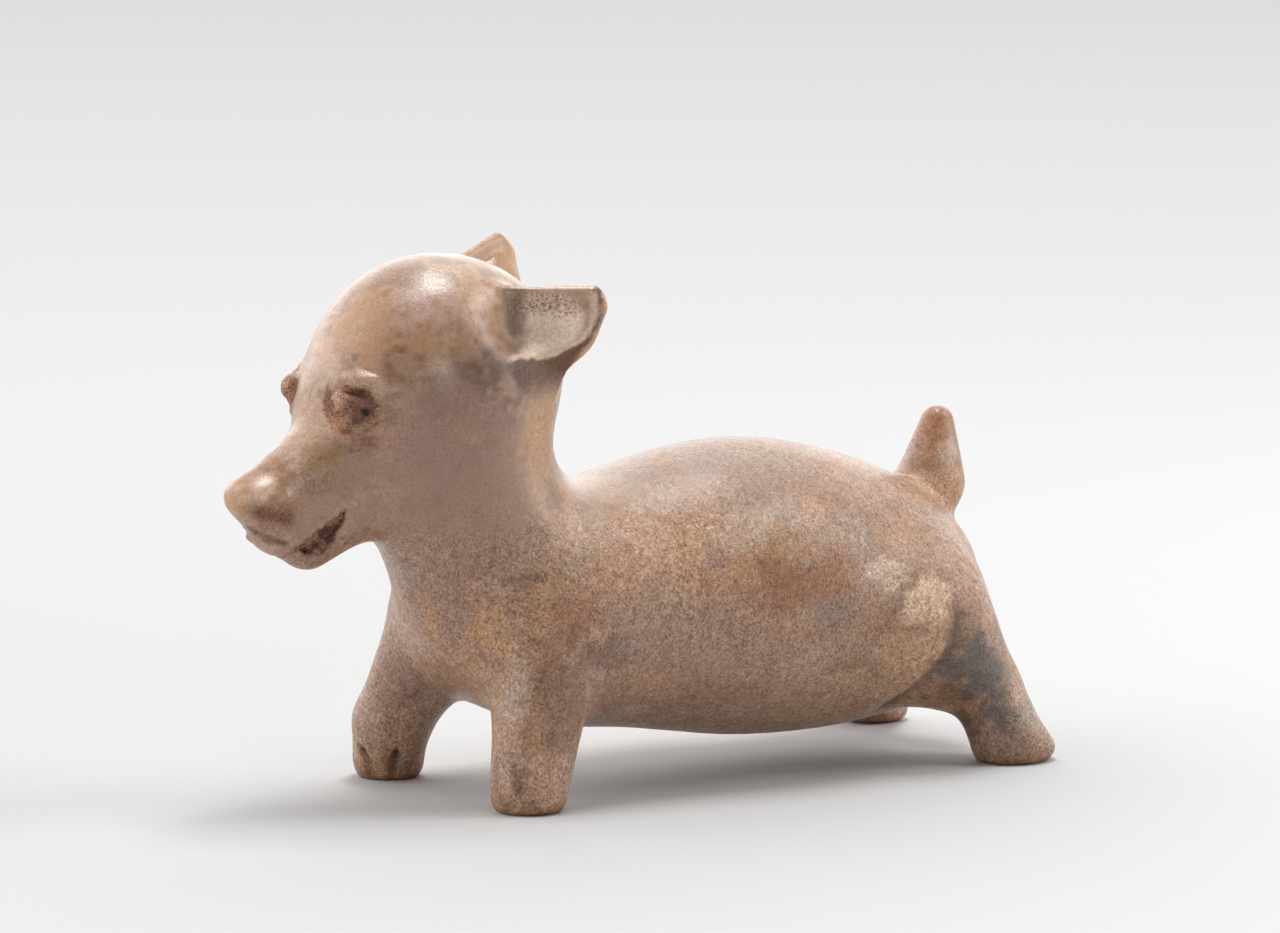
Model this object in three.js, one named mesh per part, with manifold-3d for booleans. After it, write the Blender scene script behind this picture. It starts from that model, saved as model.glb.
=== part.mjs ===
// A standing dog, modelled by hand in clay, burnished and fired: low and long, with a domed head,
// a short snout, scooped ears, coffee-bean eyes, four stubby legs and an upright tail.
// Millimetres, +Z up. The dog looks along -Y and its left side is at +X; the floor is z = 0.
// The figure is one piece. Its form is a field of rounded masses run together as wet clay is,
// with the eye, mouth and toe marks pressed into it, and that field's zero surface is meshed.
import * as THREE from "three";
import { mergeVertices } from "three/addons/utils/BufferGeometryUtils.js";
import Module from "manifold-3d";

// ------------------------------------------------------------------ driving dimensions
const GRID = 2.2; // spacing of the lattice that finds the surface
const FACES = 9200; // triangles kept after thinning
const SOLE_DROP = 0.7; // depth below the floor at which the rounding of the feet is centred
const SOLE_ROUND = 4.0; // rounding where a foot meets the floor

// Masses of the trunk: centre, half axes
const BARREL = { c: [0, 50.5, 69.0], r: [58.6, 78.5, 55.1] };
const RUMP = { c: [0, 99.6, 61.5], r: [46.6, 62.9, 46.8] };
const CHEST = { c: [0, -20.5, 66.9], r: [51.4, 59.5, 43.8] };
const TRUNK_BLEND = 35;

// Neck, a thick tapered column, and the masses of the head
const NECK = { a: [0, -53.5, 87.2], b: [0, -82.4, 139.8], ra: 36.6, rb: 33.8, blend: 24 };
const SKULL = { c: [0, -77.7, 156.4], r: [37.9, 49.7, 43.9] };
const FACE = { c: [0, -111.2, 147.6], r: [23.9, 21.4, 22.3], blend: 12 };
const SNOUT = { a: [0, -102.3, 136.3], b: [0, -155.4, 115.8], ra: 23.5, rb: 9.1, blend: 22 };
const CHEEKS = { a: [0, -104, 122.2], b: [0, -144, 111.6], ra: 20, rb: 11.6, blend: 8 };
const UPPER_LIP = { c: [0, -144.5, 107.5], r: [12.6, 12.7, 12.5], blend: 8 };
const NOSE = { c: [0, -155.0, 119.6], r: [9.0, 10.2, 6.5], blend: 6 };
const NOSE_BULB = { c: [1.8, -154.2, 116.7], r: [9.6, 10.6, 7.6], blend: 4 };
const SNOUT_FLAT = { off: 38, deep: -0.5, blend: 7 }; // flattened slopes of the snout: degrees off its ridge, depth off its round
const JAW = { a: [0, -96.8, 119.5], b: [0, -133.2, 99.4], ra: 13.9, rb: 10.3, blend: 9 };

// Ears: root, turn of the ear's plane away from the side, lift of its tip, then sizes in that plane
const LEFT_EAR = {
  side: 1, root: [28.3, -57.3, 168.9], turn: 64, lift: -1.4,
  lobe: [13.1, 5.0], lobeR: 13.0, tip: [24.0, 12.6], tipR: 5.8, heel: -5.3, heelR: 17.1, rim: 16.8,
};
const RIGHT_EAR = {
  side: -1, root: [-26.1, -47.0, 176.3], turn: 70, lift: 15.9,
  lobe: [13.3, 1.8], lobeR: 12.2, tip: [24.3, 11.3], tipR: 6.7, heel: -1.5, heelR: 14.5, rim: 16.9,
};
const EAR_FLAT = 1.35; // how much thinner an ear is than it is round
const EAR_BLEND = 8;
// Crest of the left ear's lower lip, along and up the ear; below it the ear falls away behind the lip
const LIP_CREST = [[-9.5, -5.2], [-4, -4], [2, -4.2], [8, -4], [13, -2.4], [17.5, 0.1], [21, 3.2], [23.4, 7.4], [24.4, 12], [24.2, 18]];

// Eye, in its own frame: across, up, out of the face
const EYE = { c: [18.9, -126.5, 149.8], across: [0.756, 0.655, 0], up: [-0.072, 0.083, 0.994], out: [0.651, -0.751, 0.11] };
const EYEBALL = { c: [-0.4, -0.6, -2.4], r: [9.6, 7.0, 6.6], lean: -13 };
const BROW = [
  { c: [2.1, 8.5, -5.4], r: [9.0, 4.6, 7.0], lean: -4 },
  { c: [9.6, 6.2, -6.2], r: [4.6, 7.4, 5.2], lean: 28 },
  { c: [-6.6, 6.4, -5.4], r: [3.6, 5.6, 4.6], lean: -26 },
];
const RIGHT_EYE = { ball: { c: [-0.2, 0.6, -2.4], r: [8.4, 6.8, 7.1], lean: -13 }, flatter: 2.2 }; // fuller ball, flatter brow
const RIGHT_EYE_RAISE = 2.4; // the right eye sits a little higher

// Legs: a run of round masses from the trunk to the foot, x y z radius
const FRONT_LEFT = [[31.4, -50.0, 60.6, 19.2], [41.1, -64.8, 7.1, 14.0]];
const FRONT_RIGHT = [[-27.4, -57.4, 60.1, 19.0], [-46.8, -66.8, 21.9, 14.1], [-53.1, -64.5, 7.5, 13.5]];
const REAR_LEFT = [[31.5, 112.6, 57.0, 31.3], [40.7, 142.8, 27.5, 13.5], [51.2, 147.1, 8.0, 13.6]];
const REAR_RIGHT = [[-30.0, 122.0, 57.0, 26.0], [-46.0, 149.0, 26.0, 14.5], [-56.6, 165.0, 8.0, 10.9]];
const HEEL_LEFT = { c: [51.2, 150.7, 4.5], r: [12.2, 15.3, 7.2] };
const HEEL_RIGHT = { c: [-57.8, 163.6, 4.5], r: [11.5, 13.5, 5.6] };
const LEG_BLEND = 20;
const SHOULDER_BLEND = 24;
const TAIL = { a: [0, 147.9, 101.0], b: [0, 151.0, 123.8], ra: 13.2, rb: 6.3, blend: 14 };

// Marks pressed into the clay, each a run of x y z half-width
// The open corner of the mouth seen from the side: a straight upper edge from its front to its end, and a bowed lower one
const MOUTH = {
  from: [-112.6, 86.3], to: [-94.8, 100.3], gape: 6.0, deep: 3.6,
  side: new THREE.Vector3(0.5715, 0.8206, 0), rise: new THREE.Vector3(-0.0987, 0.0688, 0.9928),
};
const UNDER_NOSE = [[6.3, -162.2, 114.0, 0.1], [7.9, -158.6, 111.7, 0.3], [10.0, -154.0, 109.5, 0.4], [12.6, -148.9, 108.7, 0.2]];
const HIP_CREASE = [[34.4, 98.6, 23.0, 0.4], [46.9, 100.9, 30.5, 1.0], [55.5, 103.7, 38.1, 1.2], [60.0, 107.3, 44.8, 1.0], [62.1, 110.3, 50.4, 0.2]];
const TOES = [
  [[39.4, -79.2, 17.0, 1.0], [41.3, -79.2, 8.0, 1.4], [41.8, -78.6, 0.5, 1.2]],
  [[47.8, -76.2, 17.6, 0.9], [50.6, -75.4, 8.6, 1.5], [52.4, -75.0, 0.5, 1.2]],
  [[28.4, -71.0, 17.5, 0.9], [28.4, -72.0, 4.0, 1.3]],
  [[-49.5, -78.8, 20.5, 0.9], [-47.6, -78.2, 10.0, 1.6], [-47.3, -77.0, 0.5, 1.2]],
  [[-36.0, -71.8, 18.8, 1.2], [-40.2, -71.0, 8.0, 2.0], [-42.8, -71.0, 0.5, 1.8]],
  [[-61.0, -76.8, 18.5, 0.9], [-61.2, -76.8, 4.0, 1.3]],
];

// ------------------------------------------------------------------ the field
const blend = (a, b, k) => {
  const h = Math.max(k - Math.abs(a - b), 0) / k;
  return Math.min(a, b) - (h * h * h * k) / 6;
};
const carve = (a, b, k) => -blend(-a, b, k); // takes b away from a, with a rounded edge k wide

const ellipsoid = (x, y, z, e) => {
  const { c, r } = e;
  let u = x - c[0], v = y - c[1], w = z - c[2];
  if (e.lean) {
    const t = THREE.MathUtils.degToRad(e.lean), s = Math.sin(t), o = Math.cos(t);
    [u, v] = [u * o + v * s, v * o - u * s];
  }
  u /= r[0]; v /= r[1]; w /= r[2];
  const k0 = Math.hypot(u, v, w);
  const k1 = Math.max(Math.hypot(u / r[0], v / r[1], w / r[2]), 1e-9);
  return (k0 * (k0 - 1)) / k1;
};

// a bar between two balls of different size, with straight sides that touch both
const taper = (x, y, z, ax, ay, az, bx, by, bz, ra, rb) => {
  const dx = bx - ax, dy = by - ay, dz = bz - az;
  const l2 = dx * dx + dy * dy + dz * dz, rr = ra - rb, a2 = l2 - rr * rr, il2 = 1 / l2;
  const px = x - ax, py = y - ay, pz = z - az;
  const t = px * dx + py * dy + pz * dz, q = t - l2;
  const sx = px * l2 - dx * t, sy = py * l2 - dy * t, sz = pz * l2 - dz * t;
  const x2 = sx * sx + sy * sy + sz * sz, y2 = t * t * l2, z2 = q * q * l2;
  const k = Math.sign(rr) * rr * rr * x2;
  if (Math.sign(q) * a2 * z2 > k) return Math.sqrt(x2 + z2) * il2 - rb;
  if (Math.sign(t) * a2 * y2 < k) return Math.sqrt(x2 + y2) * il2 - ra;
  return (Math.sqrt(x2 * a2 * il2) + t * rr) * il2 - ra;
};
const bar = (x, y, z, m) => taper(x, y, z, ...m.a, ...m.b, m.ra, m.rb);

const limb = (x, y, z, run) => {
  let d = Infinity;
  for (let i = 0; i + 1 < run.length; i++) {
    const a = run[i], b = run[i + 1];
    const e = taper(x, y, z, a[0], a[1], a[2], b[0], b[1], b[2], a[3], b[3]);
    d = i ? blend(d, e, 6) : e;
  }
  return d;
};

const stroke = (x, y, z, run) => {
  let d = Infinity;
  for (let i = 0; i + 1 < run.length; i++) {
    const a = run[i], b = run[i + 1];
    const ux = b[0] - a[0], uy = b[1] - a[1], uz = b[2] - a[2];
    const px = x - a[0], py = y - a[1], pz = z - a[2];
    const h = Math.min(1, Math.max(0, (px * ux + py * uy + pz * uz) / (ux * ux + uy * uy + uz * uz)));
    const e = Math.hypot(px - ux * h, py - uy * h, pz - uz * h) - a[3] - (b[3] - a[3]) * h;
    d = Math.min(d, e);
  }
  return d;
};

const earFrame = (ear) => {
  const t = THREE.MathUtils.degToRad(ear.turn), l = THREE.MathUtils.degToRad(ear.lift);
  const back = new THREE.Vector3(ear.side * Math.cos(t), Math.sin(t), 0);
  const up = new THREE.Vector3(0, 0, 1);
  return {
    along: back.clone().multiplyScalar(Math.cos(l)).addScaledVector(up, Math.sin(l)),
    up: up.clone().multiplyScalar(Math.cos(l)).addScaledVector(back, -Math.sin(l)),
    out: new THREE.Vector3(ear.side * Math.sin(t), -Math.cos(t), 0),
  };
};
const EARS = [LEFT_EAR, RIGHT_EAR].map((ear) => ({ ...ear, ...earFrame(ear) }));

// distance from the crest of the lower lip, and the crest's height there, in the plane of the ear
const pastCrest = (u, v) => {
  let near = Infinity, crest = LIP_CREST[u < LIP_CREST[0][0] ? 0 : LIP_CREST.length - 1][1];
  for (let i = 0; i + 1 < LIP_CREST.length; i++) {
    const [a, b] = LIP_CREST[i], [c, d] = LIP_CREST[i + 1], p = c - a, q = d - b;
    const h = THREE.MathUtils.clamp(((u - a) * p + (v - b) * q) / (p * p + q * q), 0, 1);
    near = Math.min(near, Math.hypot(u - a - p * h, v - b - q * h));
    if (u >= Math.min(a, c) && u < Math.max(a, c) && p > 0) crest = b + (q * (u - a)) / p;
  }
  return { near, crest };
};

// an ear is a flattened lobe cut off square in front and scooped out under a thin upper rim
const earBody = (x, y, z, ear) => {
  const px = x - ear.root[0], py = y - ear.root[1], pz = z - ear.root[2];
  const u = px * ear.along.x + py * ear.along.y + pz * ear.along.z;
  const v = px * ear.up.x + py * ear.up.y + pz * ear.up.z;
  const w = px * ear.out.x + py * ear.out.y + pz * ear.out.z;
  const f = w * EAR_FLAT;
  let d = taper(u, v, f, -1, ear.heel, -5.5, ear.lobe[0], ear.lobe[1], -4, ear.heelR, ear.lobeR);
  d = blend(d, taper(u, v, f, ear.lobe[0], ear.lobe[1], -4, ear.tip[0], ear.tip[1], -1, ear.lobeR, ear.tipR), 4);
  d = blend(d, taper(u, v, f, -8, ear.rim, -1, ear.tip[0], ear.rim + 0.2, -0.6, 3.2, 3.6), 5);
  if (ear.side < 0) {
    d = -blend(-d * 0.86, (2.6 - w) * 0.74, 2);
    return [d, ellipsoid(u, v, w, { c: [7.6, ear.rim - 8.6, 8], r: [11.5, 8.8, 9.5], lean: 9 })];
  }
  const { near, crest } = pastCrest(u, v);
  let off = v < crest || u > 24.3 ? near : -near;
  off = 0.5 * (off + Math.sqrt(off * off + 1.2));
  const front = 2.9 - Math.min(off * (1 - 0.7 * THREE.MathUtils.clamp((v + 2) / 18, 0, 1)), 9);
  d = -blend(-d * 0.86, (front - w) * 0.74, 2);
  const t = THREE.MathUtils.degToRad(-15), q = v - ear.rim + 8.4, e = w - 10.2;
  const cup = Math.hypot(
    Math.abs((u - 4.8) / 17) ** 1.15,
    Math.abs((q * Math.cos(t) + e * Math.sin(t)) / 12) ** 1.15,
    Math.abs((e * Math.cos(t) - q * Math.sin(t)) / 12) ** 1.15,
  ) ** (1 / 1.15);
  return [d, (cup - 1) * 10];
};

// eyeball and brow of one eye; the right eye mirrors the left, with a fuller ball under a flatter brow
const eyeBody = (x, y, z, right) => {
  const px = x - EYE.c[0], py = y - EYE.c[1], pz = z - EYE.c[2];
  const u = px * EYE.across[0] + py * EYE.across[1] + pz * EYE.across[2];
  const v = px * EYE.up[0] + py * EYE.up[1] + pz * EYE.up[2];
  const w = px * EYE.out[0] + py * EYE.out[1] + pz * EYE.out[2];
  let brow = blend(ellipsoid(u, v, w, BROW[0]), ellipsoid(u, v, w, BROW[1]), 3);
  brow = blend(brow, ellipsoid(u, v, w, BROW[2]), 3);
  if (!right) return blend(brow, ellipsoid(u, v, w, EYEBALL), 1.8);
  return blend(brow + RIGHT_EYE.flatter, ellipsoid(u, v, w, RIGHT_EYE.ball), 1.8);
};

// the snout's two slopes, pressed flat: a plane on each side that leans with the snout's taper
const SLOPE = (() => {
  const run = new THREE.Vector3(...SNOUT.b).sub(new THREE.Vector3(...SNOUT.a));
  const lean = (SNOUT.ra - SNOUT.rb) / run.length(), along = run.normalize();
  const t = THREE.MathUtils.degToRad(SNOUT_FLAT.off);
  const out = new THREE.Vector3(Math.sin(t), Math.cos(t) * along.z, -Math.cos(t) * along.y);
  return out.multiplyScalar(Math.sqrt(1 - lean * lean)).addScaledVector(along, lean);
})();
// distance from the middle plane, rounded over the bridge of the snout
const across = (x) => (Math.abs(x) > 2.6 ? Math.abs(x) : (x * x) / 5.2 + 1.3);
const slopes = (x, y, z) =>
  across(x) * SLOPE.x + (y - SNOUT.b[1]) * SLOPE.y + (z - SNOUT.b[2]) * SLOPE.z - SNOUT.rb + SNOUT_FLAT.deep;

// the open corner of the mouth, deepest under the upper lip; d is the distance to the muzzle round it
const gap = (x, y, z, d) => {
  const u = x * MOUTH.side.x + y * MOUTH.side.y - MOUTH.from[0];
  const v = x * MOUTH.rise.x + y * MOUTH.rise.y + z * MOUTH.rise.z - MOUTH.from[1];
  const p = MOUTH.to[0] - MOUTH.from[0], q = MOUTH.to[1] - MOUTH.from[1], far = Math.hypot(p, q);
  const along = (u * p + v * q) / far, below = (u * q - v * p) / far;
  const t = THREE.MathUtils.clamp(along / far, 0, 1);
  let e = -blend(below + 0.5 * Math.sin(Math.PI * t), (MOUTH.gape * Math.sin(Math.PI * t ** 0.72) ** 1.3 - below) * 0.72, 0.6);
  e = Math.max(e, Math.abs(along - far / 2) - far / 2);
  const floor = d + MOUTH.deep * THREE.MathUtils.clamp(1.1 - below / MOUTH.gape, 0.15, 1.1);
  e = -blend(-e, floor, 1.6);
  return -blend(-e, x - 3, 1);
};

const head = (x, y, z) => {
  let s = blend(bar(x, y, z, SNOUT), ellipsoid(x, y, z, UPPER_LIP), UPPER_LIP.blend);
  s = blend(s, bar(x, y, z, CHEEKS), CHEEKS.blend);
  s = blend(s, ellipsoid(x, y, z, NOSE), NOSE.blend);
  s = -blend(-s, -slopes(x, y, z), SNOUT_FLAT.blend);
  s = blend(s, ellipsoid(across(x), y, z, NOSE_BULB), NOSE_BULB.blend);
  let h = blend(ellipsoid(x, y, z, SKULL), s, SNOUT.blend);
  h = blend(h, ellipsoid(x, y, z, FACE), FACE.blend);
  h = blend(h, bar(x, y, z, JAW), JAW.blend);
  for (const side of [1, -1]) h = blend(h, eyeBody(side * x, y, z - (side < 0 ? RIGHT_EYE_RAISE : 0), side < 0), 3.4);
  h = blend(h, bar(x, y, z, NECK), NECK.blend);
  for (const ear of EARS) {
    const [lobe, cup] = earBody(x, y, z, ear);
    h = carve(blend(h, lobe, EAR_BLEND), cup, 2.2);
  }
  for (const side of [1, -1]) {
    h = carve(h, stroke(side * x, y, z, UNDER_NOSE), 6);
    h = carve(h, gap(side * x, y, z, h), 0.8);
  }
  return h;
};

const dog = (x, y, z) => {
  let d = blend(ellipsoid(x, y, z, BARREL), ellipsoid(x, y, z, RUMP), TRUNK_BLEND);
  d = blend(d, ellipsoid(x, y, z, CHEST), TRUNK_BLEND);
  d = blend(d, head(x, y, z), NECK.blend);
  d = blend(d, limb(x, y, z, FRONT_LEFT), SHOULDER_BLEND);
  d = blend(d, limb(x, y, z, FRONT_RIGHT), LEG_BLEND);
  d = blend(d, blend(limb(x, y, z, REAR_LEFT), ellipsoid(x, y, z, HEEL_LEFT), 10), LEG_BLEND);
  d = blend(d, blend(limb(x, y, z, REAR_RIGHT), ellipsoid(x, y, z, HEEL_RIGHT), 10), LEG_BLEND);
  d = blend(d, bar(x, y, z, TAIL), TAIL.blend);
  if (z < 62 && y > 84 && y < 128) for (const side of [1, -1]) d = carve(d, stroke(side * x, y, z, HIP_CREASE), 4);
  if (z < 26) for (const toe of TOES) d = carve(d, stroke(x, y, z, toe), 1);
  return -blend(-d, z + SOLE_DROP, SOLE_ROUND);
};

// ------------------------------------------------------------------ surface of the field
// One vertex in each lattice cell that the surface crosses, one quad round each crossed edge.
const surfaceOf = (field, min, max, step) => {
  const n = [0, 1, 2].map((i) => Math.ceil((max[i] - min[i]) / step) + 1);
  const at = (i, j, k) => (i * n[1] + j) * n[2] + k;
  const F = new Float64Array(n[0] * n[1] * n[2]).fill(9);
  const B = 6, reach = B * step;
  for (let bi = 0; bi < n[0]; bi += B)
    for (let bj = 0; bj < n[1]; bj += B)
      for (let bk = 0; bk < n[2]; bk += B) {
        const m = field(min[0] + (bi + B / 2) * step, min[1] + (bj + B / 2) * step, min[2] + (bk + B / 2) * step);
        const near = Math.abs(m) < reach * 1.1;
        for (let i = bi; i < Math.min(bi + B, n[0]); i++)
          for (let j = bj; j < Math.min(bj + B, n[1]); j++)
            for (let k = bk; k < Math.min(bk + B, n[2]); k++)
              F[at(i, j, k)] = near ? field(min[0] + i * step, min[1] + j * step, min[2] + k * step) : m;
      }
  // A cell whose inside or outside corners fall into two groups would pinch the surface: its corner
  // nearest to the surface is given to the other side.
  const joined = (bits) => {
    let seen = bits & -bits;
    for (let pass = 0; pass < 4; pass++)
      for (let c = 0; c < 8; c++)
        if ((bits >> c) & 1 && [1, 2, 4].some((a) => (seen >> (c ^ a)) & 1)) seen |= 1 << c;
    return seen === bits;
  };
  const pinched = Array.from({ length: 256 }, (_, bits) => !joined(bits) || !joined(255 ^ bits));
  for (let again = true; again; ) {
    again = false;
    for (let i = 0; i < n[0] - 1; i++)
      for (let j = 0; j < n[1] - 1; j++)
        for (let k = 0; k < n[2] - 1; k++) {
          let bits = 0;
          for (let c = 0; c < 8; c++) if (F[at(i + (c & 1), j + ((c >> 1) & 1), k + (c >> 2))] < 0) bits |= 1 << c;
          if (!pinched[bits]) continue;
          let least = -1;
          for (let c = 0; c < 8; c++) {
            const q = at(i + (c & 1), j + ((c >> 1) & 1), k + (c >> 2));
            if (F[q] < 0 && (least < 0 || F[q] > F[least])) least = q;
          }
          F[least] = 1e-3;
          again = true;
        }
  }
  const cell = new Int32Array(F.length).fill(-1);
  const P = [];
  for (let i = 0; i < n[0] - 1; i++)
    for (let j = 0; j < n[1] - 1; j++)
      for (let k = 0; k < n[2] - 1; k++) {
        let inside = 0;
        for (let c = 0; c < 8; c++) if (F[at(i + (c & 1), j + ((c >> 1) & 1), k + (c >> 2))] < 0) inside++;
        if (!inside || inside === 8) continue;
        let sx = 0, sy = 0, sz = 0, m = 0;
        for (let c = 0; c < 8; c++)
          for (let a = 0; a < 3; a++) {
            if ((c >> a) & 1) continue;
            const e = c | (1 << a);
            const f0 = F[at(i + (c & 1), j + ((c >> 1) & 1), k + (c >> 2))];
            const f1 = F[at(i + (e & 1), j + ((e >> 1) & 1), k + (e >> 2))];
            if (f0 < 0 === f1 < 0) continue;
            const t = f0 / (f0 - f1);
            sx += (c & 1) + (a === 0 ? t : 0);
            sy += ((c >> 1) & 1) + (a === 1 ? t : 0);
            sz += (c >> 2) + (a === 2 ? t : 0);
            m++;
          }
        cell[at(i, j, k)] = P.length / 3;
        P.push(min[0] + (i + sx / m) * step, min[1] + (j + sy / m) * step, min[2] + (k + sz / m) * step);
      }
  const T = [];
  const quad = (a, b, c, d, flip) => (flip ? T.push(a, c, b, a, d, c) : T.push(a, b, c, a, c, d));
  for (let i = 1; i < n[0] - 1; i++)
    for (let j = 1; j < n[1] - 1; j++)
      for (let k = 1; k < n[2] - 1; k++) {
        const s = F[at(i, j, k)] < 0;
        if (s !== F[at(i + 1, j, k)] < 0)
          quad(cell[at(i, j - 1, k - 1)], cell[at(i, j, k - 1)], cell[at(i, j, k)], cell[at(i, j - 1, k)], !s);
        if (s !== F[at(i, j + 1, k)] < 0)
          quad(cell[at(i - 1, j, k - 1)], cell[at(i, j, k - 1)], cell[at(i, j, k)], cell[at(i - 1, j, k)], s);
        if (s !== F[at(i, j, k + 1)] < 0)
          quad(cell[at(i - 1, j - 1, k)], cell[at(i, j - 1, k)], cell[at(i, j, k)], cell[at(i - 1, j, k)], !s);
      }
  return { P: Float64Array.from(P), T: Int32Array.from(T) };
};

// moves each vertex onto the field's zero surface
const settle = (P, field, rounds) => {
  const e = 0.12;
  for (let r = 0; r < rounds; r++)
    for (let i = 0; i < P.length; i += 3) {
      const x = P[i], y = P[i + 1], z = P[i + 2], f = field(x, y, z);
      const gx = (field(x + e, y, z) - field(x - e, y, z)) / (2 * e);
      const gy = (field(x, y + e, z) - field(x, y - e, z)) / (2 * e);
      const gz = (field(x, y, z + e) - field(x, y, z - e)) / (2 * e);
      const s = f / Math.max(gx * gx + gy * gy + gz * gz, 0.2);
      const l = Math.min(1, 0.6 / Math.max(1e-9, Math.abs(s) * Math.hypot(gx, gy, gz)));
      P[i] -= s * gx * l; P[i + 1] -= s * gy * l; P[i + 2] -= s * gz * l;
    }
};

// Thins the mesh by collapsing the edges that change its shape least (quadric error), so that the
// eyes, ears, mouth and toes keep small faces and the flanks get large ones.
const thin = (P, T, target) => {
  const nv = P.length / 3, nt = T.length / 3;
  const Q = new Float64Array(nv * 10), alive = new Uint8Array(nt).fill(1), stamp = new Int32Array(nv);
  const fans = Array.from({ length: nv }, () => []);
  const normal = (a, b, c, o) => {
    const ux = P[b] - P[a], uy = P[b + 1] - P[a + 1], uz = P[b + 2] - P[a + 2];
    const vx = P[c] - P[a], vy = P[c + 1] - P[a + 1], vz = P[c + 2] - P[a + 2];
    o[0] = uy * vz - uz * vy; o[1] = uz * vx - ux * vz; o[2] = ux * vy - uy * vx;
    return Math.hypot(o[0], o[1], o[2]);
  };
  const N = [0, 0, 0], M = [0, 0, 0];
  for (let t = 0; t < nt; t++) {
    const l = normal(3 * T[3 * t], 3 * T[3 * t + 1], 3 * T[3 * t + 2], N) || 1e-12;
    const [a, b, c] = [N[0] / l, N[1] / l, N[2] / l], p = 3 * T[3 * t];
    const d = -(a * P[p] + b * P[p + 1] + c * P[p + 2]), w = l;
    const q = [a * a, a * b, a * c, a * d, b * b, b * c, b * d, c * c, c * d, d * d];
    for (let s = 0; s < 3; s++) {
      const v = T[3 * t + s];
      fans[v].push(t);
      for (let m = 0; m < 10; m++) Q[v * 10 + m] += q[m] * w;
    }
  }
  const q = new Float64Array(10), best = [0, 0, 0];
  const errorAt = (x, y, z) =>
    q[0] * x * x + 2 * q[1] * x * y + 2 * q[2] * x * z + 2 * q[3] * x + q[4] * y * y + 2 * q[5] * y * z + 2 * q[6] * y + q[7] * z * z + 2 * q[8] * z + q[9];
  const price = (a, b) => {
    for (let m = 0; m < 10; m++) q[m] = Q[a * 10 + m] + Q[b * 10 + m];
    const det = q[0] * (q[4] * q[7] - q[5] * q[5]) - q[1] * (q[1] * q[7] - q[5] * q[2]) + q[2] * (q[1] * q[5] - q[4] * q[2]);
    const mx = (P[3 * a] + P[3 * b]) / 2, my = (P[3 * a + 1] + P[3 * b + 1]) / 2, mz = (P[3 * a + 2] + P[3 * b + 2]) / 2;
    const len = Math.hypot(P[3 * a] - P[3 * b], P[3 * a + 1] - P[3 * b + 1], P[3 * a + 2] - P[3 * b + 2]);
    best[0] = mx; best[1] = my; best[2] = mz;
    if (Math.abs(det) > 1e-6) {
      const x = -(q[3] * (q[4] * q[7] - q[5] * q[5]) - q[1] * (q[6] * q[7] - q[5] * q[8]) + q[2] * (q[6] * q[5] - q[4] * q[8])) / det;
      const y = -(q[0] * (q[6] * q[7] - q[8] * q[5]) - q[3] * (q[1] * q[7] - q[5] * q[2]) + q[2] * (q[1] * q[8] - q[6] * q[2])) / det;
      const z = -(q[0] * (q[4] * q[8] - q[5] * q[6]) - q[1] * (q[1] * q[8] - q[6] * q[2]) + q[3] * (q[1] * q[5] - q[4] * q[2])) / det;
      if (Math.hypot(x - mx, y - my, z - mz) < len) { best[0] = x; best[1] = y; best[2] = z; }
    }
    return Math.max(0, errorAt(...best)) + 1e-4 * len * len;
  };
  const heap = [];
  const push = (e) => {
    let i = heap.push(e) - 1;
    while (i > 0) {
      const p = (i - 1) >> 1;
      if (heap[p].cost <= heap[i].cost) break;
      [heap[p], heap[i]] = [heap[i], heap[p]];
      i = p;
    }
  };
  const pop = () => {
    const top = heap[0], last = heap.pop();
    if (heap.length) {
      heap[0] = last;
      for (let i = 0; ; ) {
        const l = 2 * i + 1, r = l + 1;
        let s = i;
        if (l < heap.length && heap[l].cost < heap[s].cost) s = l;
        if (r < heap.length && heap[r].cost < heap[s].cost) s = r;
        if (s === i) break;
        [heap[s], heap[i]] = [heap[i], heap[s]];
        i = s;
      }
    }
    return top;
  };
  const around = (v) => {
    const s = new Set();
    for (const t of fans[v]) for (let m = 0; m < 3; m++) if (T[3 * t + m] !== v) s.add(T[3 * t + m]);
    return s;
  };
  const offer = (a, b) => {
    const cost = price(a, b);
    push({ cost, a, b, sa: stamp[a], sb: stamp[b], to: [...best] });
  };
  for (let v = 0; v < nv; v++) for (const w of around(v)) if (w > v) offer(v, w);
  const turns = (v, other, to) => {
    for (const t of fans[v]) {
      const i = [T[3 * t], T[3 * t + 1], T[3 * t + 2]];
      if (i.includes(other)) continue;
      const l0 = normal(3 * i[0], 3 * i[1], 3 * i[2], N);
      const keep = [P[3 * v], P[3 * v + 1], P[3 * v + 2]];
      P.set(to, 3 * v);
      const l1 = normal(3 * i[0], 3 * i[1], 3 * i[2], M);
      P.set(keep, 3 * v);
      if (l1 < 1e-3 || N[0] * M[0] + N[1] * M[1] + N[2] * M[2] < 0.35 * l0 * l1) return true;
    }
    return false;
  };
  let count = nt;
  while (count > target && heap.length) {
    const e = pop();
    if (e.sa !== stamp[e.a] || e.sb !== stamp[e.b]) continue;
    const ra = around(e.a), rb = around(e.b);
    let shared = 0;
    for (const v of ra) if (rb.has(v)) shared++;
    if (shared !== 2 || turns(e.a, e.b, e.to) || turns(e.b, e.a, e.to)) continue;
    P.set(e.to, 3 * e.a);
    for (let m = 0; m < 10; m++) Q[e.a * 10 + m] += Q[e.b * 10 + m];
    for (const t of fans[e.b]) {
      const i = [T[3 * t], T[3 * t + 1], T[3 * t + 2]];
      if (i.includes(e.a)) {
        alive[t] = 0;
        count--;
        for (const v of i) if (v !== e.b) fans[v] = fans[v].filter((f) => f !== t);
      } else {
        T[3 * t + i.indexOf(e.b)] = e.a;
        fans[e.a].push(t);
      }
    }
    fans[e.b] = [];
    stamp[e.b] = -1;
    stamp[e.a]++;
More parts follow.
